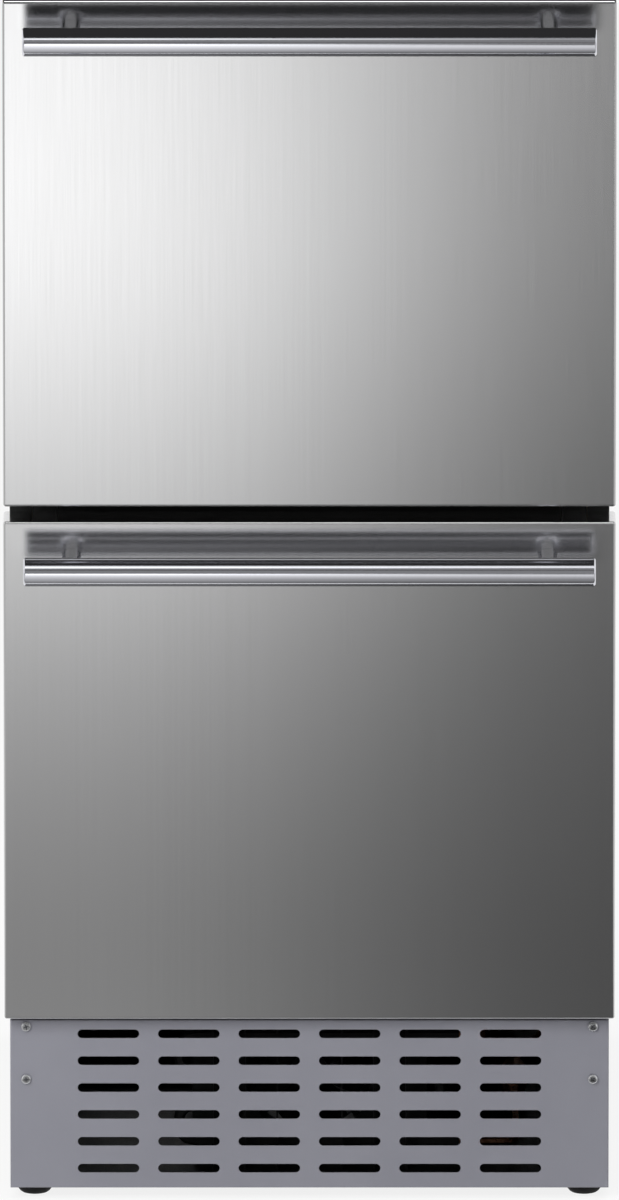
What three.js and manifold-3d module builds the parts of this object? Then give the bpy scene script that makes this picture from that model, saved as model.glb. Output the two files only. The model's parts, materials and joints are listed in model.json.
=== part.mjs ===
// An undercounter refrigerator with two drawers: insulated cabinet, stepped over a rear machine room, two
// drawers on three-member telescopic slides, a slotted kick plate and four levelling feet.
// Millimetres, +Z up, the fronts face -Y. x = 0 is the middle, y = 0 the cabinet's front plane and z = 0 the
// floor.
import * as THREE from "three";
import { mergeVertices } from "three/addons/utils/BufferGeometryUtils.js";
import Module from "manifold-3d";

const wasm = await Module();
wasm.setup();

// ---------------------------------------------------------------- driving dimensions
const SEAT = 0.3; // gap left between two pieces that rest on each other
const RUNNING = 0.4; // gap between pieces that slide on or turn round each other
const OVERCUT = 1; // how far a cutter reaches past the face that it cuts

// Outline of the whole
const FRONT_WIDTH = 440;
const CABINET_DEPTH = 525;
const CABINET_TOP = 876;

// Cabinet
const FRONT_OVERHANG = 4; // each front beyond the cabinet's side
const FLOOR_CLEARANCE = 8; // floor to the underside of the base
const SHEET = 1; // shell, back and covers
const BASE_SHEET = 1.5; // base tray, deck and kick plate
const FLANGE_WIDTH = 16; // front flanges of the shell
const SIDE_WALL = 34; // outside of the shell to the clear space, with the foam
const REAR_WALL = 55;
const FRAME_THICKNESS = 4;
const FRAME_CORNER = 3;

// Drawer fronts
const FRONT_RISE = 3; // top of the upper front above the cabinet
const FRONT_THICKNESS = 45;
const FRONT_EDGE = 1.2; // bevel round the steel face
const LOWER_FRONT_BOTTOM = 135;
const UPPER_FRONT_EXTRA = 3; // the upper front is so much taller
const FRONT_GAP = 11;
const SKIN = 1;
const SKIN_LIP = 12; // return lip at the back of the steel skin
const PANEL_THICKNESS = 3.7;
const PANEL_INSET = 3; // inner panel inside the outline of the skin
const PANEL_CORNER = 3;
const PANEL_RECESS_DEPTH = 1.6;
const PANEL_RECESS_MARGIN = 14; // gasket to the recess
const PANEL_RECESS_CORNER = 12;

// Gaskets
const GASKET_HEIGHT = 12;
const GASKET_WIDTH = 16;
const GASKET_SIDE_INSET = 14;
const GASKET_END_INSET = 8;
const GASKET_CORNER = 8;
const GASKET_BEADS = [
  [1, 0, 0.3],
  [0.56, 0.2, 0.55],
  [0.88, 0.5, 0.7],
  [0.69, 0.65, 1],
]; // share of the width, and the shares of the height between which each bead lies

// Handles
const BAR_RADIUS = 10.3;
const BAR_END_INSET = 15; // bar end inside the front's edge
const BAR_EDGE = 1.6; // rounding of the bar's ends
const BAR_STANDOFF = 55; // steel face to bar axis
const POST_RADIUS = 7;
const POST_INSET = 34; // bar end to the post's axis
const UPPER_BAR_DROP = 20; // top of the front to bar axis
const LOWER_BAR_DROP = 26;

// Cold compartment
const LINER_WALL = 2;
const LINER_FLOOR_RISE = 39; // deck plate to the liner's floor
const HUMP_RISE = 37; // raised deck to the liner's raised floor
const HUMP_SETBACK = 42; // the liner's floor climbs so far before the deck has climbed
const HUMP_SLOPE = 25; // depth that the climb takes
const MULLION_HEIGHT = 55;
const MULLION_DEPTH = 40;
const MULLION_WALL = 1.5;

// Machine room
const TRAY_SIDE_HEIGHT = 34;
const CORNER_POST_DEPTH = 34;
const CORNER_POST_REACH = 14; // kick screw to the inner edge of the corner post
const STEP_CLEARANCE = 48; // compressor to the step of the deck
const REAR_COVER_INSET = 19;
const COVER_LIP = 12;
const LOUVRE_ROWS = 3;
const LOUVRE_COLUMNS = 3;
const LOUVRE_LENGTH = 96;
const LOUVRE_HEIGHT = 7;
const LOUVRE_PITCH_X = 118;
const LOUVRE_PITCH_Z = 20;
const LOUVRE_DROP = 78; // raised deck to the middle of the louvres

// Kick plate
const KICK_SETBACK = 12; // behind the steel faces
const KICK_TOP_GAP = 3; // below the lower front
const KICK_LIP = 12;
const SLOT_COLUMNS = 6;
const SLOT_ROWS = 6;
const SLOT_LENGTH = 44.4;
const SLOT_HEIGHT = 6.4;
const SLOT_SIDE_MARGIN = 48.7; // edge of the plate to the end of the first slot
const SLOT_TOP_MARGIN = 10.35; // edge of the plate to the middle of the first row
const SLOT_BOTTOM_MARGIN = 14.5;
const KICK_SCREW_INSET = 11.5;
const KICK_SCREW_DROP = 4.8; // upper screws below the plate's top
const KICK_SCREW_PITCH = 38.8;
const SCREW_HEAD_RADIUS = 3.6;
const SCREW_HEAD_HEIGHT = 2.2;
const SCREW_SHANK_RADIUS = 1.9;
const SCREW_LENGTH = 9;
const SCREW_TIP = 2;
const PAN_HEAD = [
  [0, 1],
  [0.55, 1],
  [0.85, 0.75],
  [1, 0.3],
  [1, 0],
]; // shares of the head's radius and height

// Levelling feet
const FOOT_INSET = 17.5; // side of the cabinet to the stem
const FRONT_FOOT_SETBACK = 23; // behind the kick plate's face
const REAR_FOOT_INSET = 33; // before the back
const FOOT_RADIUS = 14;
const FOOT_PAD = [
  [0, 0],
  [0.5, 0],
  [0.76, 0.25],
  [0.93, 0.7],
  [1, 1],
]; // shares of the pad's radius and height
const FOOT_STEM_RADIUS = 4;
const FOOT_STEM_LENGTH = 32;
const FOOT_STEM_CHAMFER = 1;
const FOOT_BOSS_RADIUS = 8;
const FOOT_BOSS_HEIGHT = 18;

// Slides
const SLIDE_FRONT = 10;
const SLIDE_REAR_GAP = 10; // slide's end before the box's rear
const SLIDE_HEIGHT = 46;
const SLIDE_WIDTH = 12.7;
const SLIDE_STEEL = 1.2;
const SLIDE_LIP = 2.8;
const UPPER_SLIDE_RISE = 60; // floor of the box to the slide's middle
const LOWER_SLIDE_RISE = 82; // the same above the raised floor

// Drawer boxes
const BOX_WALL = 1.5;
const BOX_REAR_GAP = 50; // rear of the box to the rear of the liner
const BOX_RIM = 6;
const BOX_RIM_HEIGHT = 4;
const BOX_CORNER = 14;
const UPPER_BOX_RISE = 7; // above the mullion
const UPPER_BOX_DROP = 52; // below the liner's top
const LOWER_BOX_RISE = 10; // above the liner's floor
const LOWER_BOX_DROP = 8; // below the mullion
const BOX_HUMP_GAP = 11; // lower box above the hump of the liner
const BOX_STEP_GAP = 18; // lower box in front of the climb
const FLOOR_RIB = 2.5;
const FLOOR_RIB_WIDTH = 6;
const FLOOR_RIB_PITCH = 48;
const FLOOR_RIBS = 6;
const FLOOR_RIB_MARGIN = 20; // ends of the ribs inside the floor
const VENT_WIDTH = 7;
const VENT_HEIGHT = 70;
const VENT_PITCH = 46;
const VENTS = 7;
const VENT_DROP = 30; // rim to the top of the side slots

// Compressor and its lines
const COMPRESSOR_INSET = 121; // side of the cabinet to the pot's axis
const COMPRESSOR_REAR = 117; // back of the cabinet to the pot's axis
const COMPRESSOR_RADIUS = 60;
const COMPRESSOR_HEIGHT = 148;
const COMPRESSOR_LIFT = 16; // pot above the base tray
const COMPRESSOR_HEADROOM = 36.2; // pot to the raised deck
const SEAM_SHARE = 0.52; // of the pot's height
const SEAM_HALF = 3;
const POT_BELOW = [
  [0, 0],
  [0.7, 0],
  [0.92, 0.07],
  [1, 0.18],
]; // shares of the pot's radius and height under the welded seam
const POT_ABOVE = [
  [1, 0.78],
  [0.93, 0.9],
  [0.7, 0.98],
  [0, 1],
];
const POT_PLATE_REACH = 75; // half of the carrying plate's length
const POT_PLATE_BELOW = 4;
const POT_PLATE_ABOVE = 2;
const MOUNT_INSET = 11;
const MOUNT_RADIUS = 9;
const MOUNT_ABOVE = 6;
const TERMINAL_PROUD = 14;
const TERMINAL_BITE = 10;
const TERMINAL_HALF = 22;
const TERMINAL_LOW_SHARE = 0.2; // of the pot's height
const TERMINAL_HIGH_SHARE = 0.47;
const STUB_WALL = 1.5;
const STUB_LENGTH = 8;
const SUCTION_SHARE = 0.72; // of the pot's height
const SUCTION_SETOUT = 14;
const PIPE_RADIUS = 4;
const PIPE_BEND = 9;
const DRIER_INSET = 66; // side of the cabinet to the drier
const DRIER_SETBACK = 95; // front of the drier before the step of the deck
const DRIER_RADIUS = 9;
const DRIER_LENGTH = 80;
const DRIER_CONE = 12;
const DRIER_NECK = 3;
const INLET_RADIUS = 2.6;
const CAPILLARY_RADIUS = 1.8;
const CAPILLARY_START = 14;
const RISER_SIDE = 26; // end of the drier to the foot of the riser
const RISER_BEHIND = 34;
const RISER_ABOVE = 24;

// Coils and their fans
const COIL_TUBE_RADIUS = 4;
const FIN = 1.2;
const CONDENSER_Y = 25;
const CONDENSER_DEPTH = 30;
const CONDENSER_ROWS = 4; // even, so that both ends of the coil are on the compressor's side
const CONDENSER_TOP_GAP = 13.4; // fins to the top of the deck plate
const CONDENSER_FOOT = 0.7; // share of the pitch under the lowest row
const CONDENSER_HEAD = 0.6; // the same over the highest row
const CONDENSER_FINS = 7;
const EVAPORATOR_SIDE_GAP = 47; // coil inside the cover's side
const EVAPORATOR_ROWS = 4;
const EVAPORATOR_RISE = 8; // above the cover's bottom
const EVAPORATOR_TOP_GAP = 29; // coil to the fan opening
const EVAPORATOR_DEPTH = 22;
const EVAPORATOR_FINS = 5;
const COVER_WALL = 2;
const COVER_DEPTH = 42;
const COVER_SIDE_GAP = 10;
const COVER_RISE = 15; // above the mullion
const COVER_DROP = 36; // below the liner's top
const COVER_CORNER = 10;
const INTAKE_ROWS = 3;
const INTAKE_COLUMNS = 3;
const INTAKE_LENGTH = 76;
const INTAKE_HEIGHT = 7;
const INTAKE_PITCH_X = 98;
const INTAKE_PITCH_Z = 16;
const INTAKE_RISE = 36; // bottom of the cover to the middle row of slots
const GRILLE_RING = 31; // radius of the ring across the fan opening
const GRILLE_BAR = 4;
const EVAPORATOR_FAN_DROP = 78; // top of the cover to the fan's axis
const FAN_OPENING = 47; // radius of the grilles
const FAN_RADIUS = 43;
const FAN_HUB_RADIUS = 14;
const FAN_HUB_DEPTH = 12;
const FAN_BLADES = 7;
const FAN_PITCH = 0.5; // blade angle in radians
const BLADE_THICKNESS = 1.4;
const BLADE_BITE = 2; // root of a blade inside the hub
const BLADE_ROOT = 0.12; // half of the root's width; this and the points below are shares of the fan's radius
const BLADE_LEADING = [
  [-0.33, 0.6],
  [-0.3, 0.93],
];
const BLADE_TIP = [
  [0, 1.02],
  [0.26, 0.86],
];
const BLADE_TRAILING = [0.19, 0.5];
const MOTOR_RADIUS = 16;
const MOTOR_DEPTH = 14;
const SHAFT_RADIUS = 2.5;
const SPIDER_WIDTH = 5;
const SPIDER_DEPTH = 4;
const SPIDER_SETBACK = 1;
const COLLAR_WALL = 2;
const COLLAR_DEPTH = 30;
const HOUSING_Y = 48;
const HOUSING_INSET = 10; // inside the ends of the condenser
const HOUSING_WALL = 3;
const PAN_SIDE_GAP = 26;
const PAN_COMPRESSOR_GAP = 27;
const PAN_FRONT_REACH = 78; // before the pot's axis
const PAN_REAR_REACH = 52;
const PAN_HEIGHT = 26;
const PAN_WALL = 1.6;
const PAN_CORNER = 10;

// Controls and light
const CONTROL_WIDTH = 150;
const CONTROL_FRONT = 6;
const CONTROL_DEPTH = 42;
const CONTROL_HEIGHT = 28;
const CONTROL_FLAT = 23; // depth of the level underside
const CONTROL_REAR_HEIGHT = 8;
const BUTTON_RADIUS = 5;
const BUTTON_EDGE = 0.8;
const BUTTON_PITCH = 19;
const BUTTONS = 3;
const BUTTON_PROUD = 2.4;
const BUTTON_LENGTH = 7;
const BUTTON_TRAVEL = 1.2;
const BUTTON_OFFSET = -32; // middle of the row of buttons
const DISPLAY_WIDTH = 44;
const DISPLAY_HEIGHT = 14;
const DISPLAY_OFFSET = 34;
const DISPLAY_RECESS = 1;
const DISPLAY_CORNER = 2;
const LAMP_WIDTH = 120;
const LAMP_DEPTH = 22;
const LAMP_HEIGHT = 9;
const LAMP_GAP = 14; // behind the control panel
const LAMP_EDGE = [
  [0.09, 0.7],
  [0.27, 1],
]; // shares of the lens's depth and height

// Cord outlet
const GLAND_X = -120;
const GLAND_Z = 60;
const GLAND_RADIUS = 9;
const GLAND_BORE = 4;
const GLAND_FLANGE = 4; // beyond the hole, and as thick
const GLAND_INSIDE = 4;
const GLAND_NOSE = 9;
const GLAND_NOSE_WALL = 2;

// Sides of round pieces
const LARGE = 24;
const MEDIUM = 16;
const SMALL = 10;
const SLIGHT = 6;

// ---------------------------------------------------------------- derived places
const halfFront = FRONT_WIDTH / 2;
const halfCabinet = halfFront - FRONT_OVERHANG;
const insideShell = halfCabinet - SHEET;
const flangeEdge = halfCabinet - FLANGE_WIDTH;
const halfLiner = halfCabinet - SIDE_WALL;
const linerOuter = halfLiner + LINER_WALL;
const tubFront = FRAME_THICKNESS + SEAT; // front plane of liner and foam
const backInside = CABINET_DEPTH - SHEET - SEAT;
const rearCoverY = CABINET_DEPTH - REAR_COVER_INSET;
const linerRear = CABINET_DEPTH - REAR_WALL;
const linerTop = CABINET_TOP - SIDE_WALL;

// Fronts and handles, from the inside outwards
const panelRear = -GASKET_HEIGHT;
const skinRear = panelRear - PANEL_THICKNESS - SEAT;
const faceY = panelRear - FRONT_THICKNESS;
const barY = faceY - BAR_STANDOFF;
const halfBar = halfFront - BAR_END_INSET;
const postX = halfBar - POST_INSET;
const upperFrontTop = CABINET_TOP + FRONT_RISE;
const lowerFrontHeight = (upperFrontTop - LOWER_FRONT_BOTTOM - FRONT_GAP - UPPER_FRONT_EXTRA) / 2;
const lowerFrontTop = LOWER_FRONT_BOTTOM + lowerFrontHeight;
const upperFrontBottom = lowerFrontTop + FRONT_GAP;

// Base and machine room
const kickY = faceY + KICK_SETBACK;
const kickTop = LOWER_FRONT_BOTTOM - KICK_TOP_GAP;
const kickScrewX = halfCabinet - KICK_SCREW_INSET;
const slotPitchX = (2 * (halfCabinet - SLOT_SIDE_MARGIN) - SLOT_LENGTH) / (SLOT_COLUMNS - 1);
const slotTop = kickTop - SLOT_TOP_MARGIN;
const slotBottom = FLOOR_CLEARANCE + SLOT_BOTTOM_MARGIN;
const slotPitchZ = (slotTop - slotBottom) / (SLOT_ROWS - 1);
const footX = halfCabinet - FOOT_INSET;
const frontFootY = kickY + FRONT_FOOT_SETBACK;
const rearFootY = CABINET_DEPTH - REAR_FOOT_INSET;
const trayTop = FLOOR_CLEARANCE + BASE_SHEET;
const roomFloor = trayTop + SEAT; // where the machine room's pieces stand
const trayHalf = halfCabinet - BASE_SHEET - SEAT;
const trayFront = kickY + KICK_LIP + SEAT;
const postSheetY = kickY + BASE_SHEET + SEAT; // front corner posts behind the kick plate
const compressorX = halfCabinet - COMPRESSOR_INSET;
const compressorY = CABINET_DEPTH - COMPRESSOR_REAR;
const potBottom = roomFloor + COMPRESSOR_LIFT;
const deckFront = LOWER_FRONT_BOTTOM; // top of the deck plate in front
const deckRear = potBottom + COMPRESSOR_HEIGHT + COMPRESSOR_HEADROOM; // and over the compressor
const deckStep = compressorY - COMPRESSOR_RADIUS - STEP_CLEARANCE; // depth at which it has climbed
const underDeck = deckRear - BASE_SHEET - SEAT;
const frameBottom = deckFront + OVERCUT;

// Cold compartment
const linerFloor = deckFront + LINER_FLOOR_RISE;
const humpStart = deckStep - HUMP_SETBACK;
const humpTop = deckRear + HUMP_RISE;
const mullionBottom = lowerFrontTop + (FRONT_GAP - MULLION_HEIGHT) / 2;
const mullionTop = mullionBottom + MULLION_HEIGHT;
const boxHalf = halfLiner - SEAT - SLIDE_WIDTH - SEAT;
const boxRear = linerRear - BOX_REAR_GAP;
const slideLength = boxRear - SLIDE_REAR_GAP - SLIDE_FRONT;
const upperBoxBottom = mullionTop + UPPER_BOX_RISE;
const upperBoxTop = linerTop - UPPER_BOX_DROP;
const lowerBoxBottom = linerFloor + LOWER_BOX_RISE;
const lowerBoxStep = humpTop + BOX_HUMP_GAP; // underside of its raised part
const lowerBoxTop = mullionBottom - LOWER_BOX_DROP;
const lowerBoxFoot = humpStart - BOX_STEP_GAP; // where its floor begins to climb
const upperSlideZ = upperBoxBottom + UPPER_SLIDE_RISE;
const lowerSlideZ = lowerBoxStep + LOWER_SLIDE_RISE;

// Coils and fans
const condenserHalf = compressorX;
const condenserPitch =
  (deckFront - CONDENSER_TOP_GAP - roomFloor) /
  (CONDENSER_ROWS - 1 + CONDENSER_FOOT + CONDENSER_HEAD);
const condenserBottomRow = roomFloor + condenserPitch * CONDENSER_FOOT;
const condenserTopRow = condenserBottomRow + (CONDENSER_ROWS - 1) * condenserPitch;
const condenserLead = condenserHalf + condenserPitch / 2 + SEAT;
const condenserFanZ = (roomFloor + deckFront) / 2;
const collarRear = HOUSING_Y + COLLAR_DEPTH;
const condenserMotorFront = collarRear - MOTOR_DEPTH;
const coverHalf = halfLiner - COVER_SIDE_GAP;
const coverRear = linerRear - SEAT;
const coverFront = coverRear - COVER_DEPTH;
const coverBottom = mullionTop + COVER_RISE;
const coverTop = linerTop - COVER_DROP;
const evaporatorFanZ = coverTop - EVAPORATOR_FAN_DROP;
const evaporatorMotorRear = coverFront + MOTOR_DEPTH;
const evaporatorBottom = coverBottom + EVAPORATOR_RISE;
const evaporatorTop = evaporatorFanZ - FAN_OPENING - EVAPORATOR_TOP_GAP;
const evaporatorPitch = (evaporatorTop - evaporatorBottom) / EVAPORATOR_ROWS;
const drierX = halfCabinet - DRIER_INSET;
const drierFront = deckStep - DRIER_SETBACK;

// ---------------------------------------------------------------- shape helpers
const WELD = 1e-4; // corners nearer than this are one

function toSolid(geometry) {
  const bare = geometry.clone();
  bare.deleteAttribute("normal");
  bare.deleteAttribute("uv");
  const merged = mergeVertices(bare, WELD);
  return new wasm.Manifold(
    new wasm.Mesh({
      numProp: 3,
      vertProperties: merged.attributes.position.array,
      triVerts: new Uint32Array(merged.index.array),
    }),
  );
}

function toGeometry(solid) {
  const mesh = solid.getMesh();
  const geometry = new THREE.BufferGeometry();
  geometry.setAttribute("position", new THREE.BufferAttribute(mesh.vertProperties, 3));
  geometry.setIndex(new THREE.BufferAttribute(mesh.triVerts, 1));
  geometry.computeVertexNormals();
  return geometry;
}

function cut(base, ...tools) {
  const result = tools.reduce((left, tool) => left.subtract(toSolid(tool)), toSolid(base));
  return toGeometry(result);
}

function join(...pieces) {
  const [first, ...rest] = pieces.map(toSolid);
  return toGeometry(rest.reduce((sum, piece) => sum.add(piece), first));
}

function box(x0, x1, y0, y1, z0, z1) {
  return new THREE.BoxGeometry(x1 - x0, y1 - y0, z1 - z0).translate(
    (x0 + x1) / 2,
    (y0 + y1) / 2,
    (z0 + z1) / 2,
  );
}

// A cylinder from one point to another.
function rod(from, to, radius, sides = MEDIUM) {
  const start = new THREE.Vector3(...from);
  const along = new THREE.Vector3(...to).sub(start);
  const turn = new THREE.Quaternion().setFromUnitVectors(
    new THREE.Vector3(0, 1, 0),
    along.clone().normalize(),
  );
  const middle = start.addScaledVector(along, 0.5);
  return new THREE.CylinderGeometry(radius, radius, along.length(), sides)
    .applyQuaternion(turn)
    .translate(middle.x, middle.y, middle.z);
}

const EXTRUDE = { bevelEnabled: false, curveSegments: 2 };
const SMALL_ROUNDS = { curveSegments: 1 };
const RING_ROUNDS = { curveSegments: 9 };
const BEND_STEPS = 3; // stations in each bend of a pipe
const TOUCHING = 1e-3; // stations nearer than this are one

// An outline drawn in x and z, extruded along y.
function extrudeY(shape, y0, y1, options = {}) {
  return new THREE.ExtrudeGeometry(shape, { ...EXTRUDE, depth: y1 - y0, ...options })
    .rotateX(Math.PI / 2)
    .translate(0, y1, 0);
}

// An outline drawn in y and z, extruded along x.
function extrudeX(shape, x0, x1, options = {}) {
  const turn = new THREE.Matrix4().makeBasis(
    new THREE.Vector3(0, 1, 0),
    new THREE.Vector3(0, 0, 1),
    new THREE.Vector3(1, 0, 0),
  );
  return new THREE.ExtrudeGeometry(shape, { ...EXTRUDE, depth: x1 - x0, ...options })
    .applyMatrix4(turn)
    .translate(x0, 0, 0);
}

// An outline drawn in x and y, extruded along z.
function extrudeZ(shape, z0, z1) {
  return new THREE.ExtrudeGeometry(shape, { ...EXTRUDE, depth: z1 - z0 }).translate(0, 0, z0);
}

function outline(...points) {
  return new THREE.Shape(points.map(([u, v]) => new THREE.Vector2(u, v)));
}

// A rectangle with round corners; with the corner at half its height it is an obround.
function roundedRectangle(u0, u1, v0, v1, corner) {
  const r = Math.min(corner, (u1 - u0) / 2, (v1 - v0) / 2);
  const shape = new THREE.Shape();
  shape.moveTo(u0 + r, v0);
  shape.lineTo(u1 - r, v0);
  shape.absarc(u1 - r, v0 + r, r, -Math.PI / 2, 0);
  shape.absarc(u1 - r, v1 - r, r, 0, Math.PI / 2);
  shape.absarc(u0 + r, v1 - r, r, Math.PI / 2, Math.PI);
  shape.absarc(u0 + r, v0 + r, r, Math.PI, 1.5 * Math.PI);
  return shape;
}

function obround(u, v, width, height) {
  const corner = Math.min(width, height) / 2;
  return roundedRectangle(u - width / 2, u + width / 2, v - height / 2, v + height / 2, corner);
}

// Evenly spaced places, centred on the middle.
function spaced(count, pitch, middle = 0) {
  return Array.from({ length: count }, (_, i) => middle + (i - (count - 1) / 2) * pitch);
}

// A path of straight runs with bent corners, that an extrusion follows station by station.
class PipePath extends THREE.Curve {
  constructor(stations) {
    super();
    this.stations = stations;
  }
  getPoint(t) {
    const last = this.stations.length - 1;
    const i = Math.min(Math.floor(t * last), last - 1);
    return this.stations[i].clone().lerp(this.stations[i + 1], t * last - i);
  }
  getPointAt(t) {
    return this.getPoint(t);
  }
  getSpacedPoints() {
    return this.stations;
  }
  getTangentAt(t) {
    const last = this.stations.length - 1;
    const i = Math.round(t * last);
    const before = this.stations[Math.max(i - 1, 0)];
    const after = this.stations[Math.min(i + 1, last)];
    return after.clone().sub(before).normalize();
  }
}

// A pipe through the points, each inner corner bent with the given reach.
function pipe(points, radius, bend = PIPE_BEND, sides = SLIGHT) {
  const corners = points.map((p) => new THREE.Vector3(...p));
  const stations = [corners[0]];
  for (let i = 1; i < corners.length - 1; i++) {
    const toward = corners[i - 1].clone().sub(corners[i]).normalize();
    const onward = corners[i + 1].clone().sub(corners[i]).normalize();
    const curve = new THREE.QuadraticBezierCurve3(
      corners[i].clone().addScaledVector(toward, bend),
      corners[i],
      corners[i].clone().addScaledVector(onward, bend),
    );
    const fresh = curve.getPoints(BEND_STEPS).filter((p) => p.distanceTo(stations.at(-1)) > TOUCHING);
    stations.push(...fresh);
  }
  stations.push(corners.at(-1));
  const section = new THREE.Shape().absarc(0, 0, radius, 0, 2 * Math.PI);
  return new THREE.ExtrudeGeometry(section, {
    extrudePath: new PipePath(stations),
    steps: stations.length - 1,
    curveSegments: sides / 2,
    bevelEnabled: false,
  });
}

// A profile of radius and distance, turned about the y axis.
function turnedY(points, segments = MEDIUM) {
  return new THREE.LatheGeometry(
    points.map(([r, h]) => new THREE.Vector2(r, h)),
    segments,
  );
}

// The same, turned about the vertical axis.
function turnedZ(points, segments = MEDIUM) {
  return turnedY(points, segments).rotateX(Math.PI / 2);
}

// ---------------------------------------------------------------- materials
function finish(color, roughness, metalness) {
  return () => new THREE.MeshStandardMaterial({ color, roughness, metalness });
}

const brushedSteel = finish(0xa9a8a6, 0.34, 1);
const polishedSteel = finish(0xc4c4c4, 0.2, 1);
const greyPaint = finish(0x8b8b93, 0.5, 0.1);
const blackPaint = finish(0x1a1a1b, 0.5, 0.2);
const galvanised = finish(0x9a9c9e, 0.45, 0.9);
const zincPlate = finish(0xb9bcc0, 0.3, 1);
const blackPlastic = finish(0x161617, 0.45, 0);
const whitePlastic = finish(0xe4e5e3, 0.4, 0);
const greyPlastic = finish(0x3a3b3d, 0.45, 0);
const blackRubber = finish(0x141414, 0.8, 0);
const greyRubber = finish(0x4a4b4d, 0.8, 0);
const foam = finish(0xe6d9a4, 0.95, 0);
const copper = finish(0xb46a44, 0.3, 1);
const aluminium = finish(0xb8babb, 0.4, 1);
const lampPlastic = finish(0xf5f5ef, 0.3, 0);

// ---------------------------------------------------------------- scene graph
const refrigerator = new THREE.Group();
// The origin lies under the middle of the whole: halfway from the handles' front to the back.
refrigerator.position.y = -(CABINET_DEPTH + barY - BAR_RADIUS) / 2;

function add(name, geometry, material, parent = refrigerator) {
  const mesh = new THREE.Mesh(geometry, material());
  mesh.name = name;
  parent.add(mesh);
  return mesh;
}

const SIDES = [
  ["left", -1],
  ["right", 1],
];

// ---------------------------------------------------------------- cabinet
function cabinetShell() {
  const skin = box(-halfCabinet, halfCabinet, 0, backInside, FLOOR_CLEARANCE, CABINET_TOP);
  const hollow = box(
    -insideShell,
    insideShell,
    SHEET,
    CABINET_DEPTH,
    FLOOR_CLEARANCE - OVERCUT,
    CABINET_TOP - SHEET,
  );
  const mouthTop = CABINET_TOP - FLANGE_WIDTH;
  const mouth = box(-flangeEdge, flangeEdge, -OVERCUT, SHEET + OVERCUT, deckFront, mouthTop);
  const baseMouth = box(
    -insideShell,
    insideShell,
    -OVERCUT,
    SHEET + OVERCUT,
    FLOOR_CLEARANCE - OVERCUT,
    frameBottom,
  );
  return cut(skin, hollow, mouth, baseMouth);
}

function deckPlate() {
  const foot = deckStep - HUMP_SLOPE;
  const profile = outline(
    [SHEET + SEAT, deckFront],
    [SHEET + SEAT, deckFront - BASE_SHEET],
    [foot + BASE_SHEET, deckFront - BASE_SHEET],
    [deckStep + BASE_SHEET, deckRear - BASE_SHEET],
    [backInside, deckRear - BASE_SHEET],
    [backInside, deckRear],
    [deckStep, deckRear],
    [foot, deckFront],
  );
  const deckHalf = insideShell - SEAT;
  return extrudeX(profile, -deckHalf, deckHalf);
}

// The liner's stepped side view, drawn so much larger than the clear space all round.
function tubProfile(grow, front) {
  return outline(
    [front, linerFloor - grow],
    [humpStart + grow / 2, linerFloor - grow],
    [humpStart + HUMP_SLOPE + grow / 2, humpTop - grow],
    [linerRear + grow, humpTop - grow],
    [linerRear + grow, linerTop + grow],
    [front, linerTop + grow],
  );
}

function innerLiner() {
  const tub = extrudeX(tubProfile(LINER_WALL, tubFront), -linerOuter, linerOuter);
  const clear = extrudeX(tubProfile(0, tubFront - OVERCUT), -halfLiner, halfLiner);
  return cut(tub, clear);
}

function insulationFoam() {
  const half = insideShell - SEAT;
  const top = CABINET_TOP - SHEET - SEAT;
  const profile = outline(
    [tubFront, deckFront + SEAT],
    [deckStep - HUMP_SLOPE, deckFront + SEAT],
    [deckStep, deckRear + SEAT],
    [backInside, deckRear + SEAT],
    [backInside, top],
    [tubFront, top],
  );
  const tub = linerOuter + SEAT;
  const hollow = extrudeX(tubProfile(LINER_WALL + SEAT, tubFront - OVERCUT), -tub, tub);
  return cut(extrudeX(profile, -half, half), hollow);
}

function frontFrame() {
  const half = flangeEdge - SEAT;
  const top = CABINET_TOP - FLANGE_WIDTH - SEAT;
  const ring = roundedRectangle(-half, half, frameBottom, top, OVERCUT);
  ring.holes.push(roundedRectangle(-halfLiner, halfLiner, linerFloor, linerTop, FRAME_CORNER));
  return extrudeY(ring, 0, FRAME_THICKNESS);
}

function mullionBar() {
  const half = halfLiner - SEAT;
  const w = MULLION_WALL;
  const channel = outline(
    [0, mullionBottom],
    [MULLION_DEPTH, mullionBottom],
    [MULLION_DEPTH, mullionBottom + w],
    [w, mullionBottom + w],
    [w, mullionTop - w],
    [MULLION_DEPTH, mullionTop - w],
    [MULLION_DEPTH, mullionTop],
    [0, mullionTop],
  );
  return extrudeX(channel, -half, half);
}

function backPanel() {
  const bottom = deckRear - BASE_SHEET;
  return box(-halfCabinet, halfCabinet, CABINET_DEPTH - SHEET, CABINET_DEPTH, bottom, CABINET_TOP);
}

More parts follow.
